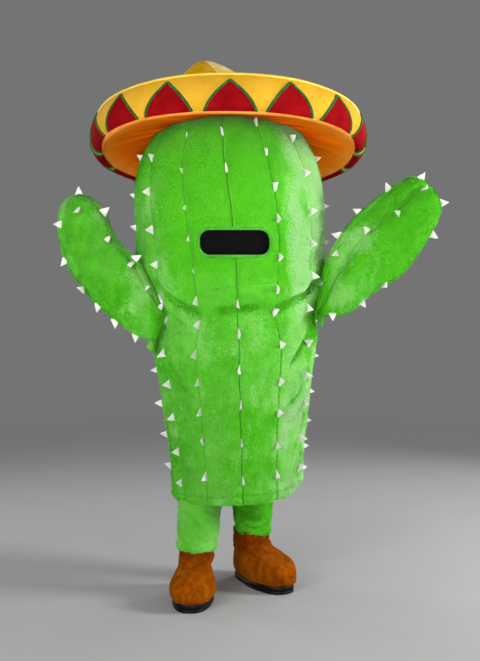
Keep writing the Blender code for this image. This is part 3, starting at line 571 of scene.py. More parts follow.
def build_body():
    z = LEVELS[:, None] + 0 * PHI0[None, :]
    rows, cols = z.shape
    phi0 = PHI0[None, :] + 0 * z
    off = OFF[None, :] + 0 * z
    seam = (seam_of % RIBS)[None, :] + 0 * z
    r0 = body_radius(z)
    # the sewing line wanders a little
    key = np.stack([z, seam * 3.7, 0 * z], -1)
    wander = 0.0042 * noise(key, 0.085, 3) + 0.0022 * noise(key, 0.030, 4) + 0.0010 * noise(key, 0.012, 5)
    near = np.clip(1 - np.abs(off) / (TAU / RIBS / 2), 0, 1) ** 2
    phi = phi0 + near * wander / np.maximum(r0, 0.12)
    theta = seam_spread((phi + math.pi) % TAU - math.pi, z) + facing(z)
    dist = np.abs(off) * np.maximum(r0, 0.05)
    head = smooth((z - 1.12) / 0.25)
    size = np.minimum(1, r0 / HEAD_R * 1.15)
    puff = (0.0050 + 0.0075 * head) * size
    out = -puff * np.exp(-(dist / 0.030) ** 1.25)
    rough_depth = 1 + 0.5 * noise(key, 0.020, 8)
    out -= (0.0068 * rough_depth) * np.exp(-(dist / 0.0034) ** 2)
    # puckers beside the seams
    side = np.sign(off) * 1.9
    pk = np.stack([z, seam * 3.7 + side, 0 * z], -1)
    out += 0.0030 * noise(pk, 0.021, 9) * np.exp(-((dist - 0.007) / 0.013) ** 2) * (1 - 0.4 * head)
    # cross seam under the window
    flat = (phi0 + math.pi) % TAU - math.pi
    dz = z - chin_seam(flat) - 0.002 * line_noise(flat * 0.4, 0.03, 12)
    span = smooth((rad(30) - np.abs(flat)) / rad(0.7))
    out -= span * (0.0065 * np.exp(-(dz / 0.0034) ** 2) + 0.0045 * np.exp(-(np.abs(dz) / 0.018) ** 1.3))
    # the hood swells over the tunic, which is drawn in below it
    out += 0.010 * np.exp(-((z - 1.30) / 0.070) ** 2) - 0.021 * np.exp(-((z - 1.168) / 0.048) ** 2)
    # the pile stands outside the cloth, and the cloth is a little slack over its foam
    side_l, side_r = np.maximum(0, -np.sin(theta)), np.maximum(0, np.sin(theta))
    out -= 0.005 + 0.010 * np.exp(-((z - 1.52) / 0.20) ** 2) * (0.5 + side_l) + 0.008 * side_r * np.exp(-((z - 1.45) / 0.20) ** 2)
    out -= 0.010 * side_l * np.exp(-((z - 1.02) / 0.14) ** 2) + 0.008 * side_r * np.exp(-((z - 1.02) / 0.14) ** 2) + 0.006 * side_r * smooth((0.80 - z) / 0.2)
    out += 0.010 * np.exp(-((z - 1.955) / 0.045) ** 2)
    base = np.stack([axis_x(z) + r0 * np.sin(theta), -r0 * DEPTH_RATIO * np.cos(theta), z], -1)
    tunic = 1 - head
    lower = smooth((1.15 - z) / 0.15)
    lengthwise = base * np.array([1, 1, 0.28])
    out += (0.0065 * lower + 0.0025) * noise(lengthwise, 0.16, 21)
    out += (0.0030 * lower + 0.0012) * noise(lengthwise, 0.060, 22)
    out += (0.0014 + 0.0012 * lower) * noise(base, 0.035, 23)
    out += 0.0007 * noise(base, 0.013, 24)
    folds = strokes(flat * FLAT_R, z, [(line, w, k * (2.0 if 1.1 < line[0][1] < 1.5 else 1.5)) for line, w, k in BODY_FOLDS])
    out += folds
    # the padded lip round the window
    x = r0 * np.sin(theta - facing(z))
    front = np.cos(theta) > 0
    wd = np.where(front, window_distance(x, z), 1.0)
    out += np.where(wd < 0.12, 0.008 * np.exp(-((wd - 0.022) / 0.018) ** 2) - 0.006 * np.exp(-(wd / 0.009) ** 2), 0)
    # the hem: a band of cloth gathered by a line of stitches, its edge turned under
    flare = z - HEM_EDGE
    gather_key = np.stack([base[..., 0], base[..., 1], 0 * z], -1)
    g1, g2 = noise(gather_key, 0.026, 31), noise(gather_key, 0.011, 32)
    out -= 0.0075 * np.exp(-((flare - 0.037 - 0.003 * g1) / 0.0040) ** 2)
    right = np.exp(-((flat - rad(78)) / rad(36)) ** 2)
    left = np.exp(-((flat + rad(62)) / rad(34)) ** 2)
    out += (0.0050 * g1 + 0.0030 * g2) * np.exp(-((flare - 0.034) / 0.024) ** 2) * (0.7 + 0.8 * left + 0.8 * right)
    out += 0.004 * np.exp(-((flare - 0.016) / 0.011) ** 2)
    out -= smooth((0.030 - flare) / 0.04) * (0.008 + 0.010 * left) + 0.044 * right * smooth((0.060 - flare) / 0.075)
    r = r0 + out
    z2 = z + 0.015 * np.sin(theta) * smooth((0.75 - z) / 0.35) + 0.004 * g1 * np.exp(-(np.maximum(flare, 0) / 0.02) ** 2)
    lean = 0.004 * smooth((z - 1.3) / 0.2) + 0.012 * smooth((z - 1.70) / 0.25)
    # the window's edge is cut to its outline: grid points close inside it are drawn out onto it
    inside = front & (wd < 0.004)
    close = inside & (wd > -0.016)
    psi = theta - facing(z)
    xs, zs = x[close], z[close]
    for _ in range(4):
        d = window_distance(xs, zs)
        gx = (window_distance(xs + 1e-4, zs) - window_distance(xs - 1e-4, zs)) / 2e-4
        gz = (window_distance(xs, zs + 1e-4) - window_distance(xs, zs - 1e-4)) / 2e-4
        xs, zs = xs + gx * (0.004 - d), zs + gz * (0.004 - d)
    psi2, z3 = psi.copy(), z2.copy()
    psi2[close] = np.arcsin(np.clip(xs / body_radius(zs), -1, 1))
    z3[close] = zs
    r[close] = body_radius(zs) + out[close]
    theta = psi2 + facing(z)
    verts = np.stack([axis_x(z3) + lean + r * np.sin(theta), -r * DEPTH_RATIO * np.cos(theta), z3], -1)
    return verts, dist, span * np.exp(-(dz / 0.0045) ** 2), wd, folds


BODY, seam_dist, cross_mark, window_d, fold_depth = build_body()
ROWS = len(LEVELS)


def grid_normals(v, wrap=True):
    """Outward normals of a grid whose columns run counter-clockwise seen from above and whose rows rise."""
    du = (np.roll(v, -1, 1) - np.roll(v, 1, 1)) if wrap else np.gradient(v, axis=1)
    dv = np.gradient(v, axis=0)
    return unit(np.cross(du, dv))


def pile(v, count, seed, length=0.0100, width=0.0021, lean=30, wrap=True, weight=None, short=None, down=-1.0, swirl=0.9, flip=False, carried=None):
    """Single-triangle tufts of pile scattered over a grid skin, lying down along its rows. weight and short hold, per grid point, how dense and how long the pile is. Returns the tufts' corners and middle points."""
    rng = np.random.default_rng(seed)
    rows, cols = v.shape[:2]
    nxt = np.roll(v, -1, 1) if wrap else v[:, 1:]
    cur = v if wrap else v[:, :-1]
    a, b, c, d = cur[:-1], nxt[:-1], nxt[1:], cur[1:]
    cross = np.cross(c - a, d - b)
    if flip:
        cross = -cross
    area = 0.5 * np.linalg.norm(cross, axis=-1)
    if weight is not None:
        w = weight if wrap else weight[:, :-1]
        area = area * 0.5 * (w[:-1] + w[1:])
    p = area.ravel()
    cum = np.cumsum(p)
    k = np.searchsorted(cum, rng.random(count) * cum[-1])
    s, t = rng.random((2, count))
    A, B, C, D = (q.reshape(-1, 3)[k] for q in (a, b, c, d))
    root = A * ((1 - s) * (1 - t))[:, None] + B * (s * (1 - t))[:, None] + C * (s * t)[:, None] + D * ((1 - s) * t)[:, None]
    normal = unit(cross.reshape(-1, 3)[k])
    lay = unit(((C + D) - (A + B)) * down)
    lay = unit(lay - normal * np.sum(lay * normal, 1, keepdims=True))
    across = np.cross(normal, lay)
    turn = swirl * (1.0 * noise(root, 0.14, seed + 1) + 0.7 * noise(root, 0.045, seed + 2) + 0.7 * noise(root, 0.016, seed + 4)) + rng.normal(0, 0.28, count)
    flow = lay * np.cos(turn)[:, None] + across * np.sin(turn)[:, None]
    tilt = np.radians(lean + 12 * noise(root, 0.05, seed + 3) + 12 * noise(root, 0.014, seed + 9) + rng.normal(0, 7, count))
    size = length * (1 + 0.22 * rng.normal(0, 1, count).clip(-2, 2))
    if short is not None:
        w = short if wrap else short[:, :-1]
        size = size * w[:-1].ravel()[k]
    tip = root + size[:, None] * (flow * np.cos(tilt)[:, None] + normal * np.sin(tilt)[:, None])
    roll = rng.normal(0, 0.45, count)
    wide = np.cross(flow, normal)
    wide = wide * np.cos(roll)[:, None] + normal * np.sin(roll)[:, None]
    half = wide * (width * (0.8 + 0.4 * rng.random(count)) / 2)[:, None]
    foot = root - normal * 0.0006
    corners = np.stack([foot - half, foot + half, tip], 1)
    if carried is not None:
        w = carried if wrap else carried[:, :-1]
        return corners, root, w[:-1].ravel()[k]
    return corners, root


def shade_class(root, seed, bias=0.0, pale=0.0, shadow=0.0):
    """0 deep, 1 middle, 2 light: the pile's nap lies in cloudy patches. 3 and 4 are pile dealt pale as painted
    highlight and painted sheen, 5 is pile in painted shadow; a weaker painted shadow deals the pile deep.
    """
    rng = np.random.default_rng(seed + 99)
    streak = root * np.array([1, 1, 0.45])
    n = 0.75 * noise(root, 0.20, seed + 5) + 0.40 * noise(root, 0.06, seed + 6) + 0.30 * noise(streak, 0.0115, seed + 7) + 0.25 * noise(streak, 0.026, seed + 8) + 0.09 * rng.normal(0, 1, len(root)) + bias
    kind = np.where(n < -0.14, 0, np.where(n < 0.22, 1, 2))
    cloud = 1 + 1.0 * noise(root, 0.11, seed + 12) + 0.7 * noise(streak, 0.038, seed + 13)
    painted_sheen = pale * cloud + 0.032 * rng.normal(0, 1, len(root))
    kind = np.where(painted_sheen > 0.22, 3, kind)
    kind = np.where(painted_sheen > 0.42, 4, kind)
    dark = shadow + 0.10 * rng.normal(0, 1, len(root))
    return np.where(dark > 0.56, 5, np.where(dark > 0.24, 0, kind))


SHADE_NAMES = ("deep", "mid", "light", "bright", "pale", "shadow")


def add_pile(name, slot, tufts, root, seed, bias=0.0, pale=0.0, shadow=0.0):
    kind = shade_class(root, seed, bias, pale, shadow)
    for c in range(6):
        t = tufts[kind == c]
        if len(t) == 0:
            continue
        parts = int(math.ceil(len(t) / 190000))
        for q in range(parts):
            piece = t[q::parts]
            faces = np.arange(len(piece) * 3).reshape(-1, 3)
            obj = mesh_object(f"pile_{name}_{SHADE_NAMES[c]}" + (f"_{q + 1}" if parts > 1 else ""), piece, faces, PILE[c], smooth_shade=False)
            carry(obj, slot)


def strip_object(name, row_from, row_to, material, extra=None):
    """A level range of the body's grid as its own object; the faces in the window are left out and the seam's floor is in shadow colour."""
    rows = row_to - row_from
    v = BODY[row_from:row_to]
    f = grid_faces(rows, BODY_COLS)
    wd = window_d[row_from:row_to].ravel()
    keep = (wd[f] > 0.0038).any(1)
    f = f[keep]
    sd = seam_dist[row_from:row_to].ravel()[f].mean(1)
    cm = cross_mark[row_from:row_to].ravel()[f].mean(1)
    dark = (sd < 0.0011) | (cm > 0.93)
    groups = [f]
    verts = v.reshape(-1, 3)
    index = dark.astype(np.int32)
    if extra is not None:
        ev, ef = extra
        groups.append(ef + len(verts))
        verts = np.concatenate([verts, ev.reshape(-1, 3)])
        index = np.concatenate([index, np.zeros(len(ef), np.int32)])
    obj = mesh_object(name, verts, groups, [material, SEAM])
    if len(obj.data.polygons) == len(index):
        obj.data.polygons.foreach_set("material_index", index)
    return obj


SPLIT_ROW = int(np.argmin(np.abs(LEVELS - SPLIT_Z)))
# the hem is turned in and runs up inside to the base panel
edge = BODY[0]
edge_axis = np.array([axis_x(HEM_Z), 0, 0])
inner_rows = []
for depth, rise in ((0.0035, -0.0030), (0.0085, -0.0020), (0.0115, 0.004), (0.0125, 0.018), (0.0130, 0.040), (0.0130, 0.066)):
    flat_dir = unit((edge - edge_axis) * np.array([1, 1, 0]))
    row = edge - flat_dir * depth
    target = 0.466
    k = max(0.0, rise) / 0.066
    row[:, 2] = edge[:, 2] + (target - edge[:, 2]) * k + (rise if rise < 0 else 0)
    inner_rows.append(row)
inner_rows = np.array(inner_rows)
hem_verts = np.concatenate([edge[None], inner_rows])
hem_faces = grid_faces(len(hem_verts), BODY_COLS, flip=True)
tunic_skin = strip_object("tunic_skin", 0, SPLIT_ROW + 1, PLUSH, extra=(hem_verts, hem_faces))
carry(tunic_skin, "plush_tunic", "tunic")
hood_skin = strip_object("hood_skin", SPLIT_ROW, ROWS, PLUSH)
carry(hood_skin, "plush_hood", "hood")

# pile on the body: none in the window or under the hat, thin and short in the seams
base_weight = 0.30 + 0.70 * smooth((seam_dist - 0.0010) / 0.0040)
base_weight *= 1 - 0.85 * np.clip(cross_mark, 0, 1)
base_weight *= smooth((window_d - 0.004) / 0.006)
short = 0.45 + 0.55 * smooth((seam_dist - 0.001) / 0.012)
short *= 1 - 0.4 * np.clip(cross_mark, 0, 1)
short = short * (0.6 + 0.4 * smooth((window_d - 0.004) / 0.02))
DENSE = 1.0
PILE_LENGTH, PILE_WIDTH = 0.0078, 0.0023
def nap(root, depth):
    """Where the pile is dealt paler or darker as painted light: a painted highlight on the costume's left flank of the
    head, where the key light falls, and painted sheen in patches elsewhere; painted shade that makes it deeper in the
    middle of the head's front and under the hat's brim; painted shadow down in the folds and beside the arms.
    """
    z = root[:, 2]
    turn = np.arctan2(root[:, 0] - axis_x(z), -root[:, 1])
    head = smooth((z - 1.16) / 0.16)
    top = smooth((z - 1.70) / 0.12)
    flank = np.exp(-(np.maximum(np.abs(turn - rad(59)) - rad(14), 0) / rad(9)) ** 2)
    middle = np.exp(-((turn - rad(0)) / rad(36)) ** 4) * smooth((z - 1.30) / 0.14)
    pale = flank * (0.20 + 0.50 * head) + 0.06 + 0.10 * (1 - head)
    armpit = np.exp(-((np.abs(turn) - rad(76)) / rad(13)) ** 2) * smooth((z - 1.02) / 0.10) * smooth((1.46 - z) / 0.12)
    pale = pale + 0.15 * head * np.exp(-((turn + rad(50)) / rad(14)) ** 2)
    pale = pale * (1 - 0.95 * middle) * (1 - 0.85 * top * (1 - 0.8 * flank)) * (1 - 0.9 * armpit)
    shadow = np.maximum(0.95 * smooth((-depth - 0.004) / 0.020), 0.85 * armpit)
    return dict(bias=-0.60 * middle - 0.8 * top * (1 - flank), pale=pale, shadow=shadow)


def pale_skin(obj, seed, lay):
    """The cloth under the pile's painted highlight and painted sheen is painted pale too, so that no dark ground shows
    between its tufts.
    """
    mesh = obj.data
    n = len(mesh.polygons)
    centre, old = np.empty(n * 3), np.empty(n, dtype=np.int32)
    mesh.polygons.foreach_get("center", centre)
    mesh.polygons.foreach_get("material_index", old)
    centre = centre.reshape(-1, 3)
    kind = shade_class(centre, seed, **lay(centre))
    mesh.materials.append(PLUSH_PALE)
    new = np.where((old == 0) & ((kind == 3) | (kind == 4)), len(mesh.materials) - 1, old).astype(np.int32)
    mesh.polygons.foreach_set("material_index", new)
    mesh.update()


pale_skin(tunic_skin, 300, lambda p: nap(p, np.zeros(len(p))))
pale_skin(hood_skin, 300, lambda p: nap(p, np.zeros(len(p))))
tufts, root, depth = pile(BODY[:SPLIT_ROW + 1], int(285000 * DENSE), 101, length=PILE_LENGTH, width=PILE_WIDTH, weight=base_weight[:SPLIT_ROW + 1], short=short[:SPLIT_ROW + 1], carried=fold_depth[:SPLIT_ROW + 1])
add_pile("tunic", "plush_tunic", tufts, root, 300, **nap(root, depth))
hidden = smooth((1.975 - LEVELS) / 0.03)[:, None]
tufts, root, depth = pile(BODY[SPLIT_ROW:], int(305000 * DENSE), 102, length=PILE_LENGTH, width=PILE_WIDTH, weight=(base_weight * hidden)[SPLIT_ROW:], short=short[SPLIT_ROW:], carried=fold_depth[SPLIT_ROW:])
add_pile("hood", "plush_hood", tufts, root, 300, **nap(root, depth))

# ------------------------------------------------------------------ see-through window: black mesh, a black sheet behind it as painted shade for the dark inside, and a bound edge
FRONT_DIR = facing(WINDOW_Z)


def window_point(x, z, inset):
    """A point of the head's front at x to the side of the middle seam, set back by inset."""
    r = body_radius(z)
    psi = np.arcsin(np.clip(x / r, -1, 1)) + FRONT_DIR
    r = r - inset
    lean = 0.004 * smooth((z - 1.3) / 0.2)
    return np.stack([axis_x(z) + lean + r * np.sin(psi), -r * DEPTH_RATIO * np.cos(psi), z + 0 * x], -1)


def woven_panel():
    """Two sets of flat threads that pass over and under each other."""
    heap = Heap()
    pitch, half = 0.0034, 0.00075
    nx, nz = int(WINDOW_W / pitch), int(WINDOW_H / pitch)
    xs = (np.arange(nx + 1) - nx / 2) * pitch
    zs = WINDOW_Z + (np.arange(nz + 1) - nz / 2) * pitch
    for i, x in enumerate(xs):
        run = np.linspace(WINDOW_Z - WINDOW_H / 2 - 0.002, WINDOW_Z + WINDOW_H / 2 + 0.002, (nz + 1) * 2)
        ok = window_distance(np.full_like(run, x), run) < 0.004
        run = run[ok]
        if len(run) < 3:
            continue
        wave = 0.0006 * np.cos((run - WINDOW_Z) / pitch * math.pi + i * math.pi)
        rows = [window_point(np.full_like(run, x + o), run, 0.0135 + wave) for o in (-half, half)]
        heap.add(np.stack(rows, 1), grid_faces(len(run), 2, wrap=False))
    for j, z in enumerate(zs):
        run = np.linspace(-WINDOW_W / 2 - 0.002, WINDOW_W / 2 + 0.002, (nx + 1) * 2)
        ok = window_distance(run, np.full_like(run, z)) < 0.004
        run = run[ok]
        if len(run) < 3:
            continue
        wave = -0.0006 * np.cos(run / pitch * math.pi + j * math.pi)
        rows = [window_point(run, np.full_like(run, z + o), 0.0135 + wave) for o in (-half, half)]
        heap.add(np.stack(rows, 1), grid_faces(len(run), 2, wrap=False, flip=True))
    return heap.make("window_mesh", MESH_CLOTH)


carry(woven_panel(), "mesh_cloth", "vision_panel")
# painted shade: a black sheet set behind the mesh stands in for the dark inside of the head
xs = np.linspace(-WINDOW_W / 2 - 0.004, WINDOW_W / 2 + 0.004, 60)
zs = np.linspace(WINDOW_Z - WINDOW_H / 2 - 0.004, WINDOW_Z + WINDOW_H / 2 + 0.004, 24)
gx, gz = np.meshgrid(xs, zs)
inside_shade_sheet = window_point(gx, gz, 0.0200)
f = grid_faces(24, 60, wrap=False)
wdist = window_distance(gx, gz).ravel()
f = f[(wdist[f] < 0.006).all(1)]
carry(mesh_object("window_painted_inside_shade", inside_shade_sheet, f, INSIDE_SHADE), "mesh_cloth")


def window_outline(n, grow):
    """Points of the window's outline, at even steps along it."""
    w, h, c = WINDOW_W / 2 + grow, WINDOW_H / 2 + grow, WINDOW_CORNER + grow
    pts = []
    for cx, cz, a0 in ((w - c, h - c, 0), (-(w - c), h - c, 90), (-(w - c), -(h - c), 180), (w - c, -(h - c), 270)):
        for a in np.linspace(a0, a0 + 90, 24):
            pts.append((cx + c * math.cos(rad(a)), cz + c * math.sin(rad(a))))
    pts = np.array(pts + pts[:1])
    run = np.concatenate([[0], np.cumsum(np.linalg.norm(np.diff(pts, axis=0), axis=1))])
    q = np.linspace(0, run[-1], n, endpoint=False)
    return np.interp(q, run, pts[:, 0]), np.interp(q, run, pts[:, 1])


ox, oz = window_outline(360, 0.0015)
path = window_point(ox, WINDOW_Z + oz, 0.0065)
path += 0.0006 * np.stack([line_noise(np.arange(360) * 0.0023, 0.01, s) for s in (1, 2, 3)], -1)
bulge = 0.0072 + 0.0006 * line_noise(np.arange(360) * 0.0023, 0.006, 5)
bv, bf = tube(path, bulge, sides=14, closed=True)
carry(mesh_object("window_binding", bv, bf, BINDING), "plush_hood")

# ------------------------------------------------------------------ arms: stuffed pads with edge seams and a middle seam
# outline from the root's tail to the tip: outer edge (x, z), inner edge (x, z), then how far back the two edges lie (y, y)
ARM_EDGES = {
    "right": [
        (-0.374, 1.034, -0.359, 1.036, -0.130, -0.135), (-0.386, 1.050, -0.339, 1.074, -0.150, -0.170), (-0.377, 1.084, -0.322, 1.135, -0.172, -0.205),
        (-0.423, 1.102, -0.302, 1.192, -0.190, -0.235), (-0.500, 1.155, -0.333, 1.277, -0.195, -0.245), (-0.573, 1.212, -0.376, 1.347, -0.185, -0.235),
        (-0.638, 1.279, -0.424, 1.420, -0.170, -0.205), (-0.708, 1.371, -0.479, 1.470, -0.150, -0.175), (-0.740, 1.449, -0.517, 1.523, -0.138, -0.152),
        (-0.756, 1.560, -0.545, 1.586, -0.130, -0.138), (-0.732, 1.642, -0.593, 1.652, -0.130, -0.130), (-0.665, 1.678, -0.665, 1.678, -0.130, -0.130),
    ],
    "left": [
        (0.354, 1.133, 0.337, 1.142, -0.090, -0.090), (0.353, 1.162, 0.311, 1.175, -0.100, -0.110), (0.365, 1.189, 0.308, 1.209, -0.110, -0.130),
        (0.414, 1.184, 0.314, 1.253, -0.120, -0.150), (0.477, 1.202, 0.327, 1.307, -0.130, -0.165), (0.532, 1.248, 0.347, 1.377, -0.130, -0.165),
        (0.602, 1.296, 0.393, 1.474, -0.130, -0.150), (0.671, 1.342, 0.447, 1.553, -0.130, -0.140), (0.733, 1.414, 0.508, 1.620, -0.130, -0.130),
        (0.789, 1.502, 0.590, 1.685, -0.130, -0.130), (0.831, 1.594, 0.677, 1.743, -0.130, -0.130), (0.829, 1.654, 0.739, 1.750, -0.130, -0.130),
        (0.789, 1.709, 0.789, 1.709, -0.130, -0.130),
    ],
}
ARM_SEAM = {"right": (rad(-134), rad(-124)), "left": (rad(-76), rad(-46))}     # place of the front's middle seam at the tip and at the root
ARM_THICK = 0.080
ARM_ROWS, ARM_COLS = 170, 150


def build_arm(side):
    pts = np.array(ARM_EDGES[side])
    n = len(pts)
    outer = np.stack([pts[:, 0], pts[:, 4], pts[:, 1]], -1)
    inner = np.stack([pts[:, 2], pts[:, 5], pts[:, 3]], -1)
    loop = np.concatenate([outer, inner[:-1][::-1]])
    curve = spline(np.arange(len(loop)), loop)
    u = np.linspace(0, 1, ARM_ROWS)
    s = 0.0025 + 0.9975 * (0.30 * u + 0.70 * u ** 1.5)
    t = (n - 1) * (1 - s)
    a, b = curve(t), curve(2 * (n - 1) - t)
    mid = (a + b) / 2
    half = np.linalg.norm(b - a, axis=1) / 2
    wide = (b - a) / (2 * half[:, None])
    half = half - 0.0035 * np.clip(half / 0.03, 0, 1)          # the pile stands outside the cloth
    axis = unit(np.gradient(mid, axis=0))
    front = unit(np.cross(wide, axis))
    front *= np.where(front[:, 1:2] > 0, -1, 1)
    thick = ARM_THICK * (1 - (1 - np.clip(half / 0.118, 0, 1)) ** 1.6) ** 0.9
    ang = np.arange(ARM_COLS) / ARM_COLS * TAU
    ca, sa = np.cos(ang)[None, :], np.sin(ang)[None, :]
    x = np.sign(ca) * np.abs(ca) ** 0.92
    y = np.sign(sa) * np.abs(sa) ** 0.92
    sh, ss = half[:, None], s[:, None]
    # seams: one a little behind each edge, one along the front and one along the back
    arc = np.sqrt((sh * sa) ** 2 + (thick[:, None] * ca) ** 2) + 1e-4
    gap = np.full((ARM_ROWS, ARM_COLS), 9.0)
    at_front = ARM_SEAM[side][0] + (ARM_SEAM[side][1] - ARM_SEAM[side][0]) * s
    for k, at in enumerate((rad(-22) + 0 * s, math.pi + rad(22) + 0 * s, at_front, math.pi / 2 + 0 * s)):
        wob = 0.07 * line_noise(s * 1.0, 0.09, 40 + k) + 0.03 * line_noise(s, 0.03, 50 + k)
        d = (ang[None, :] - (at + wob)[:, None] + math.pi) % TAU - math.pi
        gap = np.minimum(gap, np.abs(d) * arc)
        if k == 2:
            face_gap = np.abs(d) * arc
    flat = mid[:, None] + wide[:, None] * (sh * x)[..., None] - front[:, None] * (thick[:, None] * y)[..., None]
    soft = smooth(ss / 0.10)
    out = -0.0060 * np.exp(-(gap / 0.018) ** 1.3) * soft - 0.0050 * np.exp(-(gap / 0.0034) ** 2) * smooth(ss / 0.05)
    out -= (0.0115 if side == "left" else 0.0055) * np.exp(-(face_gap / 0.014) ** 1.5) * smooth(ss / 0.12)
    # lengthwise creases, stronger where the pad is drawn in at its root
    root = smooth((ss - 0.50) / 0.40)
    span = np.stack([x * sh, y * thick[:, None] * 0.9, ss * 0.16 + 0 * x], -1)
    out += (0.0022 + 0.0060 * root) * noise(span, 0.034, 60 if side == "left" else 61)
    out += (0.0014 + 0.0020 * root) * noise(span, 0.016, 67)
    out += 0.0030 * noise(flat, 0.10, 62) + 0.0014 * noise(flat, 0.030, 63) + 0.0006 * noise(flat, 0.012, 64)
    # puckers along the seams
    out += 0.0026 * noise(flat, 0.017, 66) * np.exp(-((gap - 0.006) / 0.010) ** 2)
    out = out * np.minimum(1.0, sh / 0.03)
    norm = unit(wide[:, None] * (x * thick[:, None])[..., None] - front[:, None] * (y * sh)[..., None])
    return flat + norm * out[..., None], gap, s


def arm_object(side):
    v, gap, s = build_arm(side)
    rows, cols = v.shape[:2]
    # which way round the rings run decides the faces' outside
    probe = np.cross(v[60, 1] - v[60, 0], v[61, 0] - v[60, 0])
    flip = bool(np.dot(probe, v[60, 0] - v[60].mean(0)) < 0)
    f = grid_faces(rows, cols, flip=flip)
    verts = v.reshape(-1, 3)
    tip, end = v[0].mean(0), v[-1].mean(0)
    n = len(verts)
    verts = np.concatenate([verts, [tip, end]])
    caps = [fan(np.arange(cols), n, flip=not flip), fan(np.arange(cols) + (rows - 1) * cols, n + 1, flip=flip)]
    dark = (gap.ravel()[f].mean(1) < 0.0019).astype(np.int32)
    obj = mesh_object(f"arm_{side}_skin", verts, [f] + [np.concatenate(caps)], [PLUSH, SEAM])
    if len(obj.data.polygons) == len(f) + 2 * cols:
        obj.data.polygons.foreach_set("material_index", np.concatenate([dark, np.zeros(2 * cols, np.int32)]))
    carry(obj, "plush_arm", f"arm_{side}")
    weight = 0.15 + 0.85 * smooth((gap - 0.0014) / 0.0035)
    size = 0.5 + 0.5 * smooth((gap - 0.001) / 0.010)
    t, r = pile(v, int(90000 * DENSE), 110 + (side == "left"), length=PILE_LENGTH, width=PILE_WIDTH, weight=weight, short=size, down=1.0, flip=flip)
    pale_skin(obj, 320, lambda p: arm_nap(side, p))
    return v, gap, s, t, r, flip


def arm_nap(side, spot):
    """Where an arm's pile is dealt paler or darker as painted light: painted shadow where it meets the column, painted
    sheen in patches that grow towards the body and on the right arm's upper tip, and on the left arm painted shade that
    makes it deeper away from the body.
    """
    inward = smooth((0.66 - np.abs(spot[:, 0])) / 0.30)
    near = smooth((0.385 - np.abs(spot[:, 0] - 0.005)) / 0.05)
    if side == "right":
        return dict(pale=0.10 + 0.12 * inward * (1 - near) + 0.12 * smooth((spot[:, 2] - 1.50) / 0.10), shadow=0.6 * near)
    return dict(bias=-0.55 + 0.50 * inward, pale=0.09 + 0.15 * inward * (1 - near), shadow=np.maximum(0.6 * near, 0.12 * (1 - inward)))


arms = {side: arm_object(side) for side in ("right", "left")}
for side in arms:
    add_pile(f"arm_{side}", "plush_arm", arms[side][3], arms[side][4], 320, **arm_nap(side, arms[side][4]))

# ------------------------------------------------------------------ felt spines
def spine_template():
    """A puffy folded felt spine along +Z: its foot is a slim wedge, long in Y, blunt and widest at -Y and pointed at +Y."""
    half = np.array([(0.0, 0.505), (0.20, 0.44), (0.36, 0.24), (0.58, -0.06), (0.84, -0.34), (0.93, -0.43), (0.80, -0.495), (0.40, -0.512)])
    outline = np.concatenate([half, np.array([[0.0, -0.516]]), half[:0:-1] * np.array([-1, 1])])[::-1]
    n = len(outline)
    rings = []
    for h in (-0.12, 0.0, 0.08, 0.22, 0.40, 0.58, 0.75, 0.88, 0.97):
        k = max(0.0, 1 - max(h, 0.0)) ** 0.93
        x = outline[:, 0] * (0.0062 * (0.15 + 0.85 * k ** 0.8) * min(1.0, k * 6))
        y = outline[:, 1] * 0.0400 * k - 0.0014 * (1 - k)
        rings.append(np.stack([x, y, np.full(n, h * 0.041)], -1))
    v = np.array(rings)
    tip = np.array([[0, -0.0014, 0.0415]])
    return np.concatenate([v.reshape(-1, 3), tip]), grid_faces(len(rings), n), fan(np.arange(n) + (len(rings) - 1) * n, len(rings) * n)


SPINE_V, SPINE_F, SPINE_CAP = spine_template()


def put_spine(heap, rng, at, normal, along, size=1.0, tilt=None):
    """Stands one spine on the surface: normal is outward, along is the direction of its seam, positive towards the root of the nap."""
    z = unit(np.asarray(normal, float))
    y = np.asarray(along, float)
    y = unit(y - z * np.dot(y, z))
    lift, lean = rng.normal(0.10, 0.16), rng.normal(0, 0.14)
    if tilt is not None:
        lift, lean = tilt
    x = np.cross(y, z)
    z = unit(z + y * lift + x * lean)
    y = unit(y - z * np.dot(y, z))
    x = np.cross(y, z)
    k = size * rng.uniform(0.92, 1.08)
    bend = rng.normal(0, 0.0022)
    v = SPINE_V.copy()
    v[:, 0] += bend * (np.maximum(v[:, 2], 0) / 0.041) ** 2
    v = v * k
    heap.add(np.asarray(at) + v[:, :1] * x + v[:, 1:2] * y + v[:, 2:3] * z, [SPINE_F, SPINE_CAP])


# heights of the spines on each seam; the middle seam is 0 and the count runs towards the costume's left
SPINE_LEVELS = {
    0: [1.915, 1.772, 1.237, 1.115, 0.968, 0.820, 0.667, 0.509],
    11: [1.905, 1.763, 1.620, 1.494, 1.363, 1.247, 1.148, 1.031, 0.913, 0.792, 0.674, 0.523],
    10: [1.823, 1.685, 1.534, 1.389, 1.255, 1.162, 1.027, 0.893, 0.756, 0.611, 0.484],
    1: [1.955, 1.840, 1.700, 1.570, 1.419, 1.292, 1.197, 1.066, 0.914, 0.782, 0.645, 0.518],
    2: [1.900, 1.760, 1.602, 1.476, 1.343, 1.212, 1.061, 0.928, 0.810, 0.657, 0.526],
    3: [1.830, 1.640, 1.480, 1.330, 1.160, 1.000, 0.850, 0.720, 0.600, 0.490],
    9: [1.830, 1.680, 1.540, 1.400, 1.080, 0.940, 0.795, 0.665, 0.535],
}
heap = Heap()
rng = np.random.default_rng(5)
normals = grid_normals(BODY)
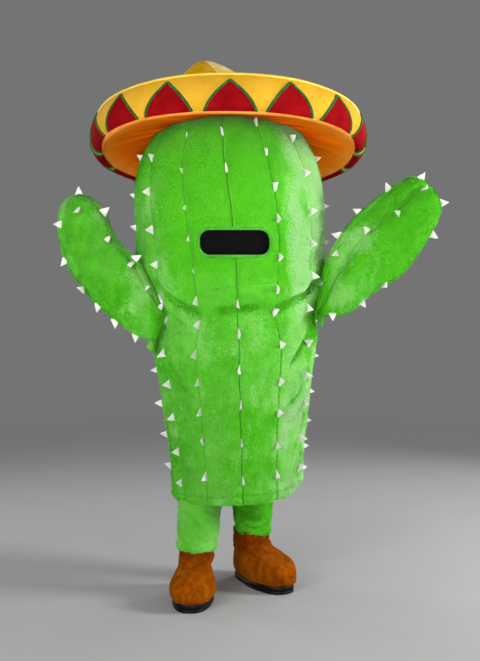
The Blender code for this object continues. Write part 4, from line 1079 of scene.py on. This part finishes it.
for k in range(RIBS):
    levels = SPINE_LEVELS.get(k)
    if levels is None:
        levels = np.arange(1.93 - 0.05 * (k % 3), 0.47, -0.146)
        levels = levels + rng.uniform(-0.012, 0.012, len(levels))
    col = k * COLS_PER_GORE
    for z in levels:
        row = int(np.argmin(np.abs(LEVELS - z)))
        lo, hi = max(0, row - 3), min(ROWS - 1, row + 3)
        side_cols = (np.array([-5, 5]) + col) % BODY_COLS
        n = unit(normals[row, side_cols].mean(0))
        along = unit(BODY[hi, col] - BODY[lo, col])
        buried = k == 11 and z > 1.3
        put_spine(heap, rng, BODY[row, col] + n * (-0.006 if buried else 0.002), n, along, size=0.72 if buried else 1.0)
body_spines = heap.make("body_spines", FELT)
carry(body_spines, "white_felt")

# on the arms: the middle of each spine (x, z), the way its tip points (degrees from +X) and how far it leans that way, 1 in the arm's plane
ARM_SPINES = {
    "right": [
        (-0.664, 1.698, 92, 1.0), (-0.657, 1.603, -62, 0.5), (-0.749, 1.553, 180, 1.0), (-0.549, 1.611, 42, 1.0), (-0.537, 1.487, -80, 0.62),
        (-0.725, 1.396, 236, 1.0), (-0.651, 1.292, 150, 0.6), (-0.413, 1.417, 25, 1.0), (-0.442, 1.383, -88, 0.66), (-0.376, 1.288, -95, 0.7),
        (-0.322, 1.213, -80, 0.7), (-0.577, 1.209, 258, 1.0), (-0.510, 1.146, 272, 1.0), (-0.427, 1.079, 270, 1.0),
    ],
    "left": [
        (0.753, 1.751, 48, 1.0), (0.608, 1.710, 118, 1.0), (0.757, 1.694, -60, 0.45), (0.853, 1.644, 0, 1.0), (0.476, 1.615, 160, 1.0),
        (0.651, 1.595, 20, 0.5), (0.526, 1.529, 0, 0.62), (0.398, 1.516, 168, 1.0), (0.402, 1.429, -50, 0.55), (0.809, 1.504, -38, 1.0),
        (0.603, 1.300, -50, 0.6), (0.508, 1.225, -55, 1.0), (0.383, 1.171, -88, 1.0), (0.330, 1.313, -20, 0.5),
    ],
}
heap = Heap()
for side in ("right", "left"):
    v, gap, s, _, _, flip = arms[side]
    nrm = grid_normals(v) * (-1 if flip else 1)
    pts, fn = v.reshape(-1, 3), nrm.reshape(-1, 3)
    for x, z, deg, lean in ARM_SPINES[side]:
        d = np.array([math.cos(rad(deg)), 0, math.sin(rad(deg))])
        at = np.array([x, 0, z]) - d * 0.017 * lean
        score = np.hypot(pts[:, 0] - at[0], pts[:, 2] - at[2]) + np.where((fn[:, 1] < -0.15) | (lean > 0.99), 0, 9) + 0.02 * (fn[:, 1] > 0.2)
        i = int(np.argmin(score))
        axis = unit(d * lean + np.array([0, -1, 0]) * math.sqrt(max(0.0, 1 - lean * lean)) + fn[i] * 0.25)
        put_spine(heap, rng, pts[i] + axis * 0.001, axis, np.cross(d, np.array([0, -1.0, 0])), size=0.86, tilt=(rng.normal(0, 0.05), rng.normal(0, 0.05)))
    # the back face, along its middle seam, and the edges where they turn away
    for sv, at in ((0.12, 1.57), (0.26, 1.57), (0.40, 1.57), (0.54, 1.57), (0.68, 1.57), (0.33, 0.9), (0.47, 2.3), (0.61, 0.9)):
        row = int(np.argmin(np.abs(s - sv)))
        col = int(round(at / TAU * v.shape[1])) % v.shape[1]
        n = unit(nrm[row, [col - 5, col + 5]].mean(0))
        along = unit(v[max(row - 3, 0), col] - v[min(row + 3, len(v) - 1), col])
        put_spine(heap, rng, v[row, col] + n * 0.001, n, along, size=0.86)
arm_spines = heap.make("arm_spines", FELT)
carry(arm_spines, "white_felt", "spine_right_tip", "spine_right_1", "spine_right_2", "spine_left_tip", "spine_left_1", "spine_left_2")

# ------------------------------------------------------------------ trouser legs
CUFF_Z, BASE_Z = 0.200, 0.470
LEGS = {
    "right": ((-0.154, -0.070), (-0.188, -0.118), rad(-2)),
    "left": ((0.050, 0.075), (0.068, 0.092), rad(30)),
}


def leg_axis(side, z):
    (tx, ty), (bx, by), _ = LEGS[side]
    t = smooth((z - CUFF_Z - 0.036) / 0.160)
    return bx + (tx - bx) * t, by + (ty - by) * t


LEG_FOLDS = {
    "right": [
        (((-0.02, 0.34), (0.02, 0.30), (0.07, 0.275)), 0.010, -0.009),
        (((-0.06, 0.30), (-0.02, 0.262), (0.03, 0.250)), 0.009, -0.009),
        (((-0.01, 0.285), (0.04, 0.262), (0.09, 0.268)), 0.010, 0.008),
        (((-0.07, 0.36), (-0.03, 0.33), (-0.01, 0.29)), 0.012, 0.008),
        (((0.02, 0.38), (0.06, 0.35), (0.10, 0.34)), 0.012, -0.008),
    ],
    "left": [
        (((-0.10, 0.34), (-0.05, 0.30), (0.00, 0.285), (0.05, 0.30)), 0.011, -0.013),
        (((-0.09, 0.37), (-0.04, 0.335), (0.02, 0.33)), 0.011, 0.008),
        (((-0.06, 0.285), (0.0, 0.262), (0.06, 0.272)), 0.009, 0.009),
        (((-0.03, 0.40), (0.03, 0.37), (0.08, 0.38)), 0.012, -0.009),
    ],
}


def build_leg(side):
    foot = 0.197 if side == "right" else 0.204
    zs = np.concatenate([np.linspace(foot, 0.248, 20)[:-1], np.linspace(0.248, 0.469, 48)])
    n = 120
    ang = np.arange(n) / n * TAU
    z = zs[:, None] + 0 * ang[None, :]
    a = (ang[None, :] + math.pi) % TAU - math.pi + 0 * z
    cx, cy = leg_axis(side, z)
    up = smooth((z - CUFF_Z) / 0.26)
    if side == "right":
        cx = cx * 0 - 0.1775 + 0.0115 * up
        r = 0.0850 + 0.0100 * up
    else:
        cx = cx * 0 + 0.0600 - 0.0030 * up
        r = 0.0780 + 0.0170 * up
    h = z - CUFF_Z - (0.007 if side == "left" else 0)
    p = np.stack([cx + r * np.sin(a), cy - r * np.cos(a), z], -1)
    key = np.stack([p[..., 0], p[..., 1], z * 0.25], -1)
    out = 0.0055 * noise(p * np.array([1, 1, 1.5]), 0.070, 70) + 0.0030 * noise(p * np.array([1, 1, 1.8]), 0.030, 71) + 0.0008 * noise(p, 0.012, 72)
    out += strokes(a * 0.0885, z, LEG_FOLDS[side])
    # a gathered cuff, puffed over the boot and drawn in under it
    out += 0.0025 * np.exp(-((h - 0.026) / 0.015) ** 2) - 0.017 * smooth((0.020 - h) / 0.024)
    out -= 0.0045 * np.exp(-((h - 0.046) / 0.008) ** 2)
    out += 0.0040 * noise(key, 0.016, 73) * np.exp(-((h - 0.020) / 0.028) ** 2)
    r = r + out
    z2 = z + 0.004 * noise(key, 0.022, 74) * np.exp(-(np.maximum(h, 0) / 0.02) ** 2)
    z2 = z2 - (0.015 if side == "right" else 0.006) * (1 - smooth((z - foot) / 0.12))
    v = np.stack([cx + r * np.sin(a), cy - r * np.cos(a), z2], -1)
    return v


for side in ("right", "left"):
    v = build_leg(side)
    low = v[0]
    centre = low.mean(0)
    inner = np.array([centre + (low - centre) * k + np.array([0, 0, d]) for k, d in ((0.965, 0.001), (0.93, 0.006), (0.90, 0.016), (0.89, 0.03))])
    hv = np.concatenate([low[None], inner])
    n1 = v.reshape(-1, 3)
    obj = mesh_object(f"leg_{side}_skin", np.concatenate([n1, hv.reshape(-1, 3)]), [grid_faces(len(v), v.shape[1]), grid_faces(len(hv), v.shape[1], start=len(n1), flip=True)], LEG_PLUSH)
    carry(obj, "plush_leg", f"leg_{side}")
    t, r = pile(v, int(34000 * DENSE), 130 + (side == "left"), length=0.0055, width=0.0022, swirl=0.6)
    # painted light: the right leg's pile is dealt lighter and paler where it is lit; the left leg's is dealt deep with
    # patches of painted shadow, painted shade where the tunic and the right leg shade it
    if side == "right":
        add_pile(f"leg_{side}", "plush_leg", t, r, 340, bias=0.26, pale=0.25)
    else:
        add_pile(f"leg_{side}", "plush_leg", t, r, 340, bias=-0.6, shadow=0.50 * (1 + 0.8 * noise(r, 0.05, 345)))

# ------------------------------------------------------------------ boots
# height, reach to the toe, reach to the heel, half width
BOOT_STATIONS = {
    "right": np.array([
        (0.0000, 0.268, 0.112, 0.088), (0.0180, 0.286, 0.117, 0.096), (0.0420, 0.292, 0.119, 0.099), (0.0620, 0.286, 0.115, 0.094),
        (0.0820, 0.266, 0.107, 0.085), (0.1010, 0.230, 0.098, 0.078), (0.1160, 0.178, 0.089, 0.0745), (0.1310, 0.124, 0.083, 0.073), (0.1480, 0.094, 0.079, 0.073), (0.1750, 0.082, 0.077, 0.073), (0.2150, 0.078, 0.075, 0.074),
    ]),
    "left": np.array([
        (0.0000, 0.252, 0.112, 0.084), (0.0200, 0.272, 0.118, 0.092), (0.0500, 0.277, 0.120, 0.098), (0.0800, 0.266, 0.116, 0.099),
        (0.1040, 0.232, 0.106, 0.098), (0.1220, 0.170, 0.094, 0.090), (0.1380, 0.112, 0.084, 0.079), (0.1550, 0.090, 0.079, 0.076), (0.1780, 0.081, 0.077, 0.075), (0.2150, 0.078, 0.075, 0.075),
    ]),
}
boot_curve = {side: spline(t[:, 0], t[:, 1:]) for side, t in BOOT_STATIONS.items()}
SOLE_T = 0.020


def boot_ring(side, front, back, half, z, ang):
    """A foot-shaped slice: an egg, blunt at the toe, in the boot's own direction. Angle 0 is the toe."""
    bx, by = LEGS[side][1]
    turn = LEGS[side][2]
    c, s = np.cos(ang), np.sin(ang)
    reach = np.where(c > 0, front, back)
    slender = 1 - np.minimum(1.0, back / front)
    boxy = smooth((front - 0.10) / 0.10) * smooth(c / 0.25)
    along = reach * np.sign(c) * np.abs(c) ** (0.92 - 0.14 * boxy)
    across = half * np.sign(s) * np.abs(s) ** (0.90 - 0.13 * boxy) * (1 + 0.08 * slender * c)
    across = across * (1 - 0.17 * smooth((front - 0.10) / 0.10) * (1 - smooth((along + 0.01) / 0.115)))
    return np.stack([bx + across * math.cos(turn) + along * math.sin(turn), by + across * math.sin(turn) - along * math.cos(turn), z + 0 * c], -1)


# creases as points (across, height above the floor) seen from the toe, on the upper
BOOT_FOLDS = {
    "right": [
        (((-0.080, 0.128), (-0.05, 0.139), (-0.01, 0.150), (0.03, 0.166), (0.080, 0.184)), 0.0080, -0.015),
        (((-0.085, 0.106), (-0.05, 0.118), (-0.01, 0.130), (0.04, 0.146), (0.085, 0.160)), 0.0110, 0.009),
        (((-0.085, 0.172), (-0.03, 0.184), (0.03, 0.204)), 0.0060, -0.008),
        (((-0.070, 0.190), (-0.02, 0.200), (0.05, 0.208)), 0.0050, -0.004),
        (((0.090, 0.135), (0.060, 0.120), (0.050, 0.100)), 0.0080, -0.006),
        (((0.095, 0.112), (0.070, 0.105), (0.060, 0.085)), 0.0080, 0.004),
        (((0.020, 0.120), (0.018, 0.090), (0.022, 0.060), (0.018, 0.035)), 0.0028, -0.004),
        (((-0.050, 0.105), (-0.035, 0.080), (-0.045, 0.055)), 0.0100, -0.003),
        (((0.055, 0.085), (0.045, 0.060), (0.055, 0.040)), 0.0080, -0.004),
    ],
    "left": [
        (((-0.075, 0.168), (-0.03, 0.178), (0.02, 0.196), (0.075, 0.210)), 0.0080, -0.014),
        (((-0.070, 0.150), (-0.02, 0.160), (0.03, 0.172), (0.08, 0.176)), 0.0100, 0.007),
        (((-0.040, 0.148), (0.01, 0.152), (0.06, 0.158)), 0.0060, -0.005),
        (((-0.085, 0.170), (-0.06, 0.130), (-0.050, 0.095), (-0.055, 0.060)), 0.0065, -0.004),
        (((0.005, 0.110), (0.004, 0.085), (0.008, 0.055), (0.004, 0.035)), 0.0028, -0.005),
        (((-0.030, 0.090), (-0.010, 0.098), (0.02, 0.096)), 0.0070, -0.004),
        (((0.050, 0.090), (0.035, 0.065), (0.040, 0.045)), 0.0080, -0.004),
        (((-0.045, 0.062), (-0.030, 0.050), (-0.02, 0.040)), 0.0080, -0.003),
    ],
}


def build_boot(side):
    hs = np.concatenate([np.linspace(0.0, 0.17, 62)[:-1], np.linspace(0.17, 0.215, 16)])
    n = 160
    ang = np.arange(n) / n * TAU
    prof = boot_curve[side](hs)
    h = hs[:, None] + 0 * ang[None, :]
    a = (ang[None, :] + math.pi) % TAU - math.pi + 0 * h
    v = boot_ring(side, prof[:, :1], prof[:, 1:2], prof[:, 2:3], h + SOLE_T, a)
    nrm = grid_normals(v)
    v[..., 0] += (0.008 if side == "right" else -0.017) * smooth((h - 0.085) / 0.075)
    across = prof[:, 2:3] * np.sign(np.sin(a)) * np.abs(np.sin(a)) ** 0.92
    front = np.cos(a) > -0.15
    z = h + SOLE_T
    out = np.where(front, strokes(across, z, BOOT_FOLDS[side]), 0)
    shaft = smooth((h - 0.110) / 0.06)
    key = v * np.array([1, 1, 1.9])
    out += (0.0022 + 0.0045 * shaft) * noise(key, 0.042, 80 + (side == "left")) + (0.0012 + 0.0018 * shaft) * noise(key, 0.018, 82) + 0.0004 * noise(v, 0.007, 83)
    out += 0.0035 * noise(v, 0.075, 84)
    # the upper is drawn in where it is sewn to the sole, and a back seam runs down the heel
    out -= 0.006 * np.exp(-(np.maximum(h - 0.006, 0) / 0.008) ** 2)
    heel = np.abs(np.abs(a) - math.pi) * 0.10
    out -= 0.0030 * np.exp(-(heel / 0.0022) ** 2) * smooth((h - 0.01) / 0.02)
    out = np.clip(out, -0.018, 0.013)
    return v + nrm * out[..., None]


for side in ("right", "left"):
    v = build_boot(side)
    rows, cols = v.shape[:2]
    verts = v.reshape(-1, 3)
    foot = v[0].mean(0)
    verts = np.concatenate([verts, [foot]])
    faces = [grid_faces(rows, cols), fan(np.arange(cols), len(verts) - 1, flip=True)]
    carry(mesh_object(f"boot_{side}_upper", verts, faces, SUEDE), "boot_suede", f"boot_{side}")
    # the sole: thicker at the toe, with a welt line and rounded edges
    n = 200
    ang = np.arange(n) / n * TAU
    a = (ang + math.pi) % TAU - math.pi
    toe = smooth((np.cos(a) + 0.1) / 1.1)
    top = 0.0235 + (0.0175 if side == "right" else 0.0135) * toe
    reach = 0.273 if side == "right" else 0.258
    rows_s = []
    for grow, level in ((-0.012, 0.0), (0.0015, 0.0), (0.0045, 0.0025), (0.0055, 0.0065), (0.0050, 0.0105), (0.0036, 0.0118), (0.0050, 0.0132), (0.0056, 0.4), (0.0042, 0.80), (0.0010, 0.97), (-0.0035, 1.0), (-0.012, 0.96)):
        z = np.full(n, level) if level < 0.05 else 0.0132 + (top - 0.0132) * level
        rows_s.append(boot_ring(side, reach + grow, 0.116 + grow, 0.083 + grow, z, a))
    sv = np.array(rows_s)
    tread = 0.0006 * noise(sv, 0.006, 90)
    sv[2:8] += (unit((sv - sv.mean(1, keepdims=True)) * np.array([1, 1, 0])) * tread[..., None])[2:8]
    m = len(sv.reshape(-1, 3))
    verts = np.concatenate([sv.reshape(-1, 3), [sv[0].mean(0), sv[-1].mean(0)]])
    faces = [grid_faces(len(sv), n), np.concatenate([fan(np.arange(n), m, flip=True), fan(np.arange(n) + (len(sv) - 1) * n, m + 1)])]
    carry(mesh_object(f"sole_{side}_rubber", verts, faces, RUBBER), "sole_rubber", f"sole_{side}")

# ------------------------------------------------------------------ the lining that joins the legs inside the hem
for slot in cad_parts["base_panel"].material_slots:
    slot.material = LINING

# ------------------------------------------------------------------ hat
HAT = Matrix.Translation((-0.045, -0.010, 1.846)) @ Matrix.Rotation(-rad(11.5), 4, "X")
HAT_ROT = np.array(HAT.to_3x3())
HAT_AT = np.array(HAT.translation)
BRIM_INNER_R, BRIM_INNER_H, BRIM_OUTER_R, BRIM_OUTER_H, BRIM_T = 0.235, 0.098, 0.546, 0.003, 0.012
RIM_R, RIM_BULGE, RIM_HEIGHT, RIM_T = 0.565, 0.026, 0.155, 0.013


def hat_place(r, a, h):
    """Hat coordinates, with angle 0 at the front and growing towards the costume's left, to the costume's frame."""
    r = r * (1 - 0.018 * np.sin(a) ** 2 * smooth((np.asarray(r, float) - 0.35) / 0.2))
    p = np.stack(np.broadcast_arrays(r * np.sin(a), -r * np.cos(a), h), -1)
    return p @ HAT_ROT.T + HAT_AT


def edge_lift(a):
    """The soft brim's edge curls up a little to both sides of the front."""
    return 0.008 * np.sin(2 * a) ** 2 * (np.cos(a) > 0)


def brim_height(r):
    t = np.clip((r - BRIM_INNER_R) / (BRIM_OUTER_R - BRIM_INNER_R), 0, 1)
    return BRIM_INNER_H + (BRIM_OUTER_H - BRIM_INNER_H) * t ** 1.15


def wheel(a, size, seed, r=0.5):
    """Noise round the hat's circle."""
    return noise(np.stack([r * np.sin(a), r * np.cos(a), 0 * a], -1), size, seed)


def brim_sag(r, a):
    """The brim is soft: broad waves at its edge and cloth folds that fan out from the head."""
    edge = smooth((r - 0.30) / 0.25)
    wave = 0.0045 * wheel(a, 0.34, 91) * edge
    near = np.exp(-np.maximum(r - 0.33, 0) / 0.075) * smooth((r - 0.24) / 0.05)
    crease = np.abs(wheel(a, 0.060, 92, 0.42)) ** 0.7 - 0.35
    folds = 0.0200 * crease * near + 0.0075 * wheel(a, 0.030, 93, 0.42) * near
    mid = np.exp(-((r - 0.42) / 0.10) ** 2)
    folds += 0.0060 * wheel(a + 0.06 * (r - 0.4), 0.070, 94, 0.46) * mid
    folds += 0.0034 * wheel(a, 0.018, 126, 0.40) * smooth((r - 0.28) / 0.06) * smooth((0.50 - r) / 0.10)
    wave = wave + edge_lift(a) * smooth((r - 0.40) / 0.14)
    return wave, folds


N_HAT = 480
hat_a = np.arange(N_HAT) / N_HAT * TAU
r_rows = np.linspace(0.236, 0.5300, 66)
R, A = np.meshgrid(r_rows, hat_a, indexing="ij")
wave, folds = brim_sag(R, A)
under_h = brim_height(R) + wave + folds
under = hat_place(R, A, under_h)
top_rows = np.linspace(0.330, 0.549, 40)
R2, A2 = np.meshgrid(top_rows, hat_a, indexing="ij")
wave2, folds2 = brim_sag(R2, A2)
over = hat_place(R2, A2, brim_height(R2) + BRIM_T + wave2 * 1.0 - 0.35 * folds2 + 0.002 * wheel(A2, 0.05, 95))
carry(mesh_object("hat_brim_top", over, grid_faces(len(over), N_HAT, flip=True), YELLOW), "hat_yellow")


# radius and height of the rim's outer face: below 0 it rolls under the brim, at 1 is its top edge
RIM_PROFILE = spline(
    [-0.14, -0.09, -0.04, 0.02, 0.09, 0.18, 0.32, 0.50, 0.68, 0.85, 1.0],
    [(0.5330, 0.0030), (0.5410, -0.0030), (0.5520, -0.0050), (0.5650, -0.0020), (0.5765, 0.0080), (0.5850, 0.0240), (0.5905, 0.0470), (0.5900, 0.0750), (0.5845, 0.0995), (0.5755, 0.1235), (0.5650, 0.1430)],
)


def rim_point(a, t, offset=0.0, lift=0.0):
    """A point of the rolled-up rim's outer face, t from its foot to its top, moved out by offset and off the cloth by lift."""
    a, t = np.broadcast_arrays(a, t)
    prof = RIM_PROFILE(t)
    r, h = prof[..., 0], prof[..., 1]
    step = RIM_PROFILE(t + 2e-3) - RIM_PROFILE(t - 2e-3)
    step = step / np.linalg.norm(step, axis=-1, keepdims=True)
    r, h = r + lift * step[..., 1], h - lift * step[..., 0]
    r = r + (0.0030 * wheel(a, 0.11, 96) + 0.0015 * wheel(a, 0.045, 97)) * np.sin(math.pi * np.clip(t, 0.02, 0.98)) + offset
    h = h + 0.0030 * wheel(a, 0.28, 98) * t + 0.0045 * wheel(a, 0.34, 91) + edge_lift(a) * (1 - np.clip(t, 0, 1))
    return hat_place(r, a, h + 0.002)


# the orange lining of the brim runs out to the seam at the rim's foot
def seam_t(a):
    turn = np.abs((a + math.pi) % TAU - math.pi)
    return 0.045 - 0.170 * smooth((turn - rad(52)) / rad(42))


lip_t = -0.14 + (seam_t(hat_a)[None, :] + 0.14) * np.array([0.15, 0.35, 0.55, 0.72, 0.86, 0.95, 1.0])[:, None]
lip = rim_point(hat_a[None, :], lip_t)
lip[-1] = rim_point(hat_a, seam_t(hat_a) + 0.002, lift=-0.0025)
under = np.concatenate([under, lip])
brim_under = mesh_object("hat_brim_underside", under, grid_faces(len(under), N_HAT), ORANGE)
carry(brim_under, "hat_orange", "hat_brim")
foot = seam_t(hat_a)[None, :] - 0.006
T = np.concatenate([foot + (0.12 - foot) * np.linspace(0, 1, 14)[:-1, None], np.linspace(0.12, 1.0, 31)[:, None] + 0 * foot])
A3 = hat_a[None, :] + 0 * T
outer_rim = rim_point(A3, T, lift=0.0006)
outer_rim[0] = rim_point(hat_a, foot[0], lift=-0.0022)
# over the top and down the inside
inside = []
for t, inset, drop in ((1.02, 0.004, 0), (1.02, 0.010, 0), (0.98, 0.0135, 0)):
    inside.append(rim_point(hat_a, np.full(N_HAT, 1.0), -inset) + (HAT_ROT @ np.array([0, 0, (t - 1) * RIM_HEIGHT]))[None])
for t in np.linspace(0.94, 0.07, 22):
    inside.append(rim_point(hat_a, np.full(N_HAT, t), -RIM_T - 0.001 + 0.004 * (1 - t)))
rim_v = np.concatenate([outer_rim, np.array(inside)])
carry(mesh_object("hat_rim_band", rim_v, grid_faces(len(rim_v), N_HAT), YELLOW), "hat_band", "hat_rim_front", "hat_rim_left", "hat_rim_back", "hat_rim_right")

# red triangles round the band, each edged with green cord along its two sloping sides
TRIANGLES = 15
HALF_BASE = rad(10.0)
APEX_T = {0: 0.82, 2: 0.915, 13: 0.915}
FOOT_T = 0.041
red_heap, cord_heap = Heap(), Heap()
rng = np.random.default_rng(77)


def flank(v):
    """Half width of a triangle at height v, from 1 at its base to 0 at its rounded tip: the sides bow out slightly."""
    return (1 - v) ** 0.96 * (1 + 0.04 * np.sin(math.pi * np.clip(v, 0, 1)))


for k in range(TRIANGLES):
    mid_a = rad(1.0) + k * TAU / TRIANGLES + rng.uniform(-0.006, 0.006)
    half_base = HALF_BASE * rng.uniform(0.98, 1.02)
    apex = APEX_T.get(k, 0.87) + rng.uniform(-0.008, 0.008)
    skew = rng.uniform(-0.05, 0.05)
    V, U = np.meshgrid(np.linspace(0, 1, 36) ** 1.25, np.linspace(-1, 1, 19), indexing="ij")
    edge_round = 0.0012 + 0.0012 * (1 - np.abs(U) ** 6)

    def corner(v, u):
        """Angle and height on the rim of a point of this triangle; below the rim's lower edge its sides run on nearly straight."""
        t = seam_t(mid_a + half_base * u) - 0.004
        t = t + (apex - t) * v
        rise = np.clip((t - FOOT_T) / (apex - FOOT_T), 0, 1)
        wide = flank(rise) + 0.10 * np.maximum(FOOT_T - t, 0)
        return mid_a + half_base * wide * u + skew * half_base * rise, t

    a, t = corner(V, U)
    p = rim_point(a, t, lift=0.0006 + edge_round + 0.0006 * noise(np.stack([a * 0.5, V * 0.1, 0 * V], -1), 0.02, 78))
    red_heap.add(p, grid_faces(36, 19, wrap=False))
    sides = []
    for sgn in (-1, 1):
        vv = np.linspace(0.0, 0.985, 60) ** 1.2
        vv = vv if sgn < 0 else vv[::-1]
        sides.append(np.stack(corner(vv, sgn + 0 * vv), -1))
    line = np.concatenate(sides)
    run = np.concatenate([[0], np.cumsum(np.hypot(np.diff(line[:, 0]) * 0.57, np.diff(line[:, 1]) * RIM_HEIGHT))])
    q = np.linspace(0, run[-1], 110)
    la, lt = np.interp(q, run, line[:, 0]), np.interp(q, run, line[:, 1])
    kernel = np.array([1, 2, 3, 2, 1]) / 9
    pad = lambda w: np.convolve(np.concatenate([[w[0]] * 2, w, [w[-1]] * 2]), kernel, "valid")
    la, lt = pad(la), pad(lt)
    path = rim_point(la, lt, lift=0.0026)
    up = unit(path - rim_point(la, lt, lift=-0.01))
    r = 0.0050 + 0.0005 * line_noise(np.arange(110) * 0.003, 0.008, 200 + k)
    cv, cf = tube(path, r, sides=10, flat=0.72, up=up)
    cord_heap.add(cv, cf)
carry(red_heap.make("hat_red_triangles", RED), "hat_band")
carry(cord_heap.make("hat_green_cords", CORD), "hat_band")

# the yellow welt on the rim's top edge
welt_path = rim_point(hat_a, np.ones(N_HAT), -0.006) + (HAT_ROT @ np.array([0, 0, 0.0035]))[None]
wv, wf = tube(welt_path, 0.0080 + 0.0007 * wheel(hat_a, 0.02, 99), sides=14, closed=True, up=np.tile(HAT_ROT @ np.array([0, 0, 1.0]), (N_HAT, 1)))
carry(mesh_object("hat_rim_welt", wv, wf, WELT), "hat_welt", "hat_piping")

# the soft crown, sewn from gores, whose tip flops to one side
CROWN_BASE_R, CROWN_HEIGHT = 0.362, 0.345
CROWN_DRIFT = (-0.111, 0.010)
CROWN_FOOT = float(brim_height(np.array(0.350))) + BRIM_T + 0.0012
u = np.linspace(0, 1, 84)
t_rows = np.concatenate([1 - (1 - u) ** 1.35])[:-1]
T, A4 = np.meshgrid(t_rows, np.arange(300) / 300 * TAU, indexing="ij")
peak = smooth((T - 0.35) / 0.45)
r = CROWN_BASE_R * ((1 - T ** 1.75) ** 0.86 * (1 - peak) + 0.90 * (1 - T) ** 0.61 * peak)
h = CROWN_FOOT - 0.004 + (CROWN_HEIGHT + 0.004) * T
gores = 6
off = ((A4 - 0.10) / (TAU / gores) + 0.5) % 1 - 0.5
seam_d = np.abs(off) * TAU / gores * np.maximum(r, 0.01)
dx = CROWN_DRIFT[0] * T ** 1.5
dy = CROWN_DRIFT[1] * T ** 1.9
p = np.stack([dx + r * np.sin(A4), dy - r * np.cos(A4), h], -1)
fade = np.minimum(1, r / 0.08)
out = (-0.012 * np.exp(-(seam_d / 0.045) ** 1.4) - 0.008 * np.exp(-(seam_d / 0.0045) ** 2)) * fade
out += (0.012 * noise(p, 0.15, 121) + 0.005 * noise(p * np.array([1, 1, 1.6]), 0.06, 122) + 0.0015 * noise(p, 0.022, 123)) * fade * smooth((T - 0.0) / 0.1)
r = r + out
crown = hat_place(0, 0, 0)[None, None] + np.stack([dx + r * np.sin(A4), dy - r * np.cos(A4), h + 0.006 * noise(p, 0.12, 124) * T], -1) @ HAT_ROT.T
tip = HAT_AT + HAT_ROT @ np.array([CROWN_DRIFT[0], CROWN_DRIFT[1], CROWN_FOOT + CROWN_HEIGHT + 0.001])
cv = np.concatenate([crown.reshape(-1, 3), [tip]])
# painted highlight: the crown's gore on the costume's left is painted paler towards the tip, where the key light falls;
# lower down it fades to plain gold
pale_tree = CROWN_PAINTED_HIGHLIGHT.node_tree
pale_split = pale_tree.nodes.new("ShaderNodeSeparateXYZ")
pale_tree.links.new(next(n for n in pale_tree.nodes if n.type == "TEX_COORD").outputs["Object"], pale_split.inputs[0])
rise_ramp = pale_tree.nodes.new("ShaderNodeMapRange")
rise_ramp.inputs["From Min"].default_value, rise_ramp.inputs["From Max"].default_value = 2.10, 2.21
pale_tree.links.new(pale_split.outputs["Z"], rise_ramp.inputs["Value"])
rise_mix = pale_tree.nodes.new("ShaderNodeMix")
rise_mix.data_type = "RGBA"
rise_mix.inputs[6].default_value = (0.570, 0.310, 0.005, 1)
pale_ramp = next(n for n in pale_tree.nodes if n.type == "VALTORGB")
pale_tree.links.new(rise_ramp.outputs[0], rise_mix.inputs[0])
pale_tree.links.new(pale_ramp.outputs["Color"], rise_mix.inputs[7])
pale_tree.links.new(rise_mix.outputs[2], pale_tree.nodes["Principled BSDF"].inputs["Base Color"])
crown_faces = np.concatenate([np.asarray(grid_faces(len(crown), 300)).reshape(-1, 4)])
crown_turn = A4.ravel()[crown_faces].min(1)
painted_highlight_gore = (crown_turn > 0.10) & (crown_turn < 0.10 + TAU / gores) & (np.abs(A4.ravel()[crown_faces].max(1) - crown_turn) < 0.1)
top_fan = fan(np.arange(300) + (len(crown) - 1) * 300, len(cv) - 1)
carry(mesh_object("hat_crown_cloth", cv, [crown_faces[~painted_highlight_gore], top_fan], GOLD), "hat_yellow", "hat_crown")
used = np.unique(crown_faces[painted_highlight_gore])
renumber = np.zeros(len(cv), int)
renumber[used] = np.arange(len(used))
carry(mesh_object("hat_crown_gore_painted_highlight", cv[used], [renumber[crown_faces[painted_highlight_gore]]], CROWN_PAINTED_HIGHLIGHT), "hat_yellow")
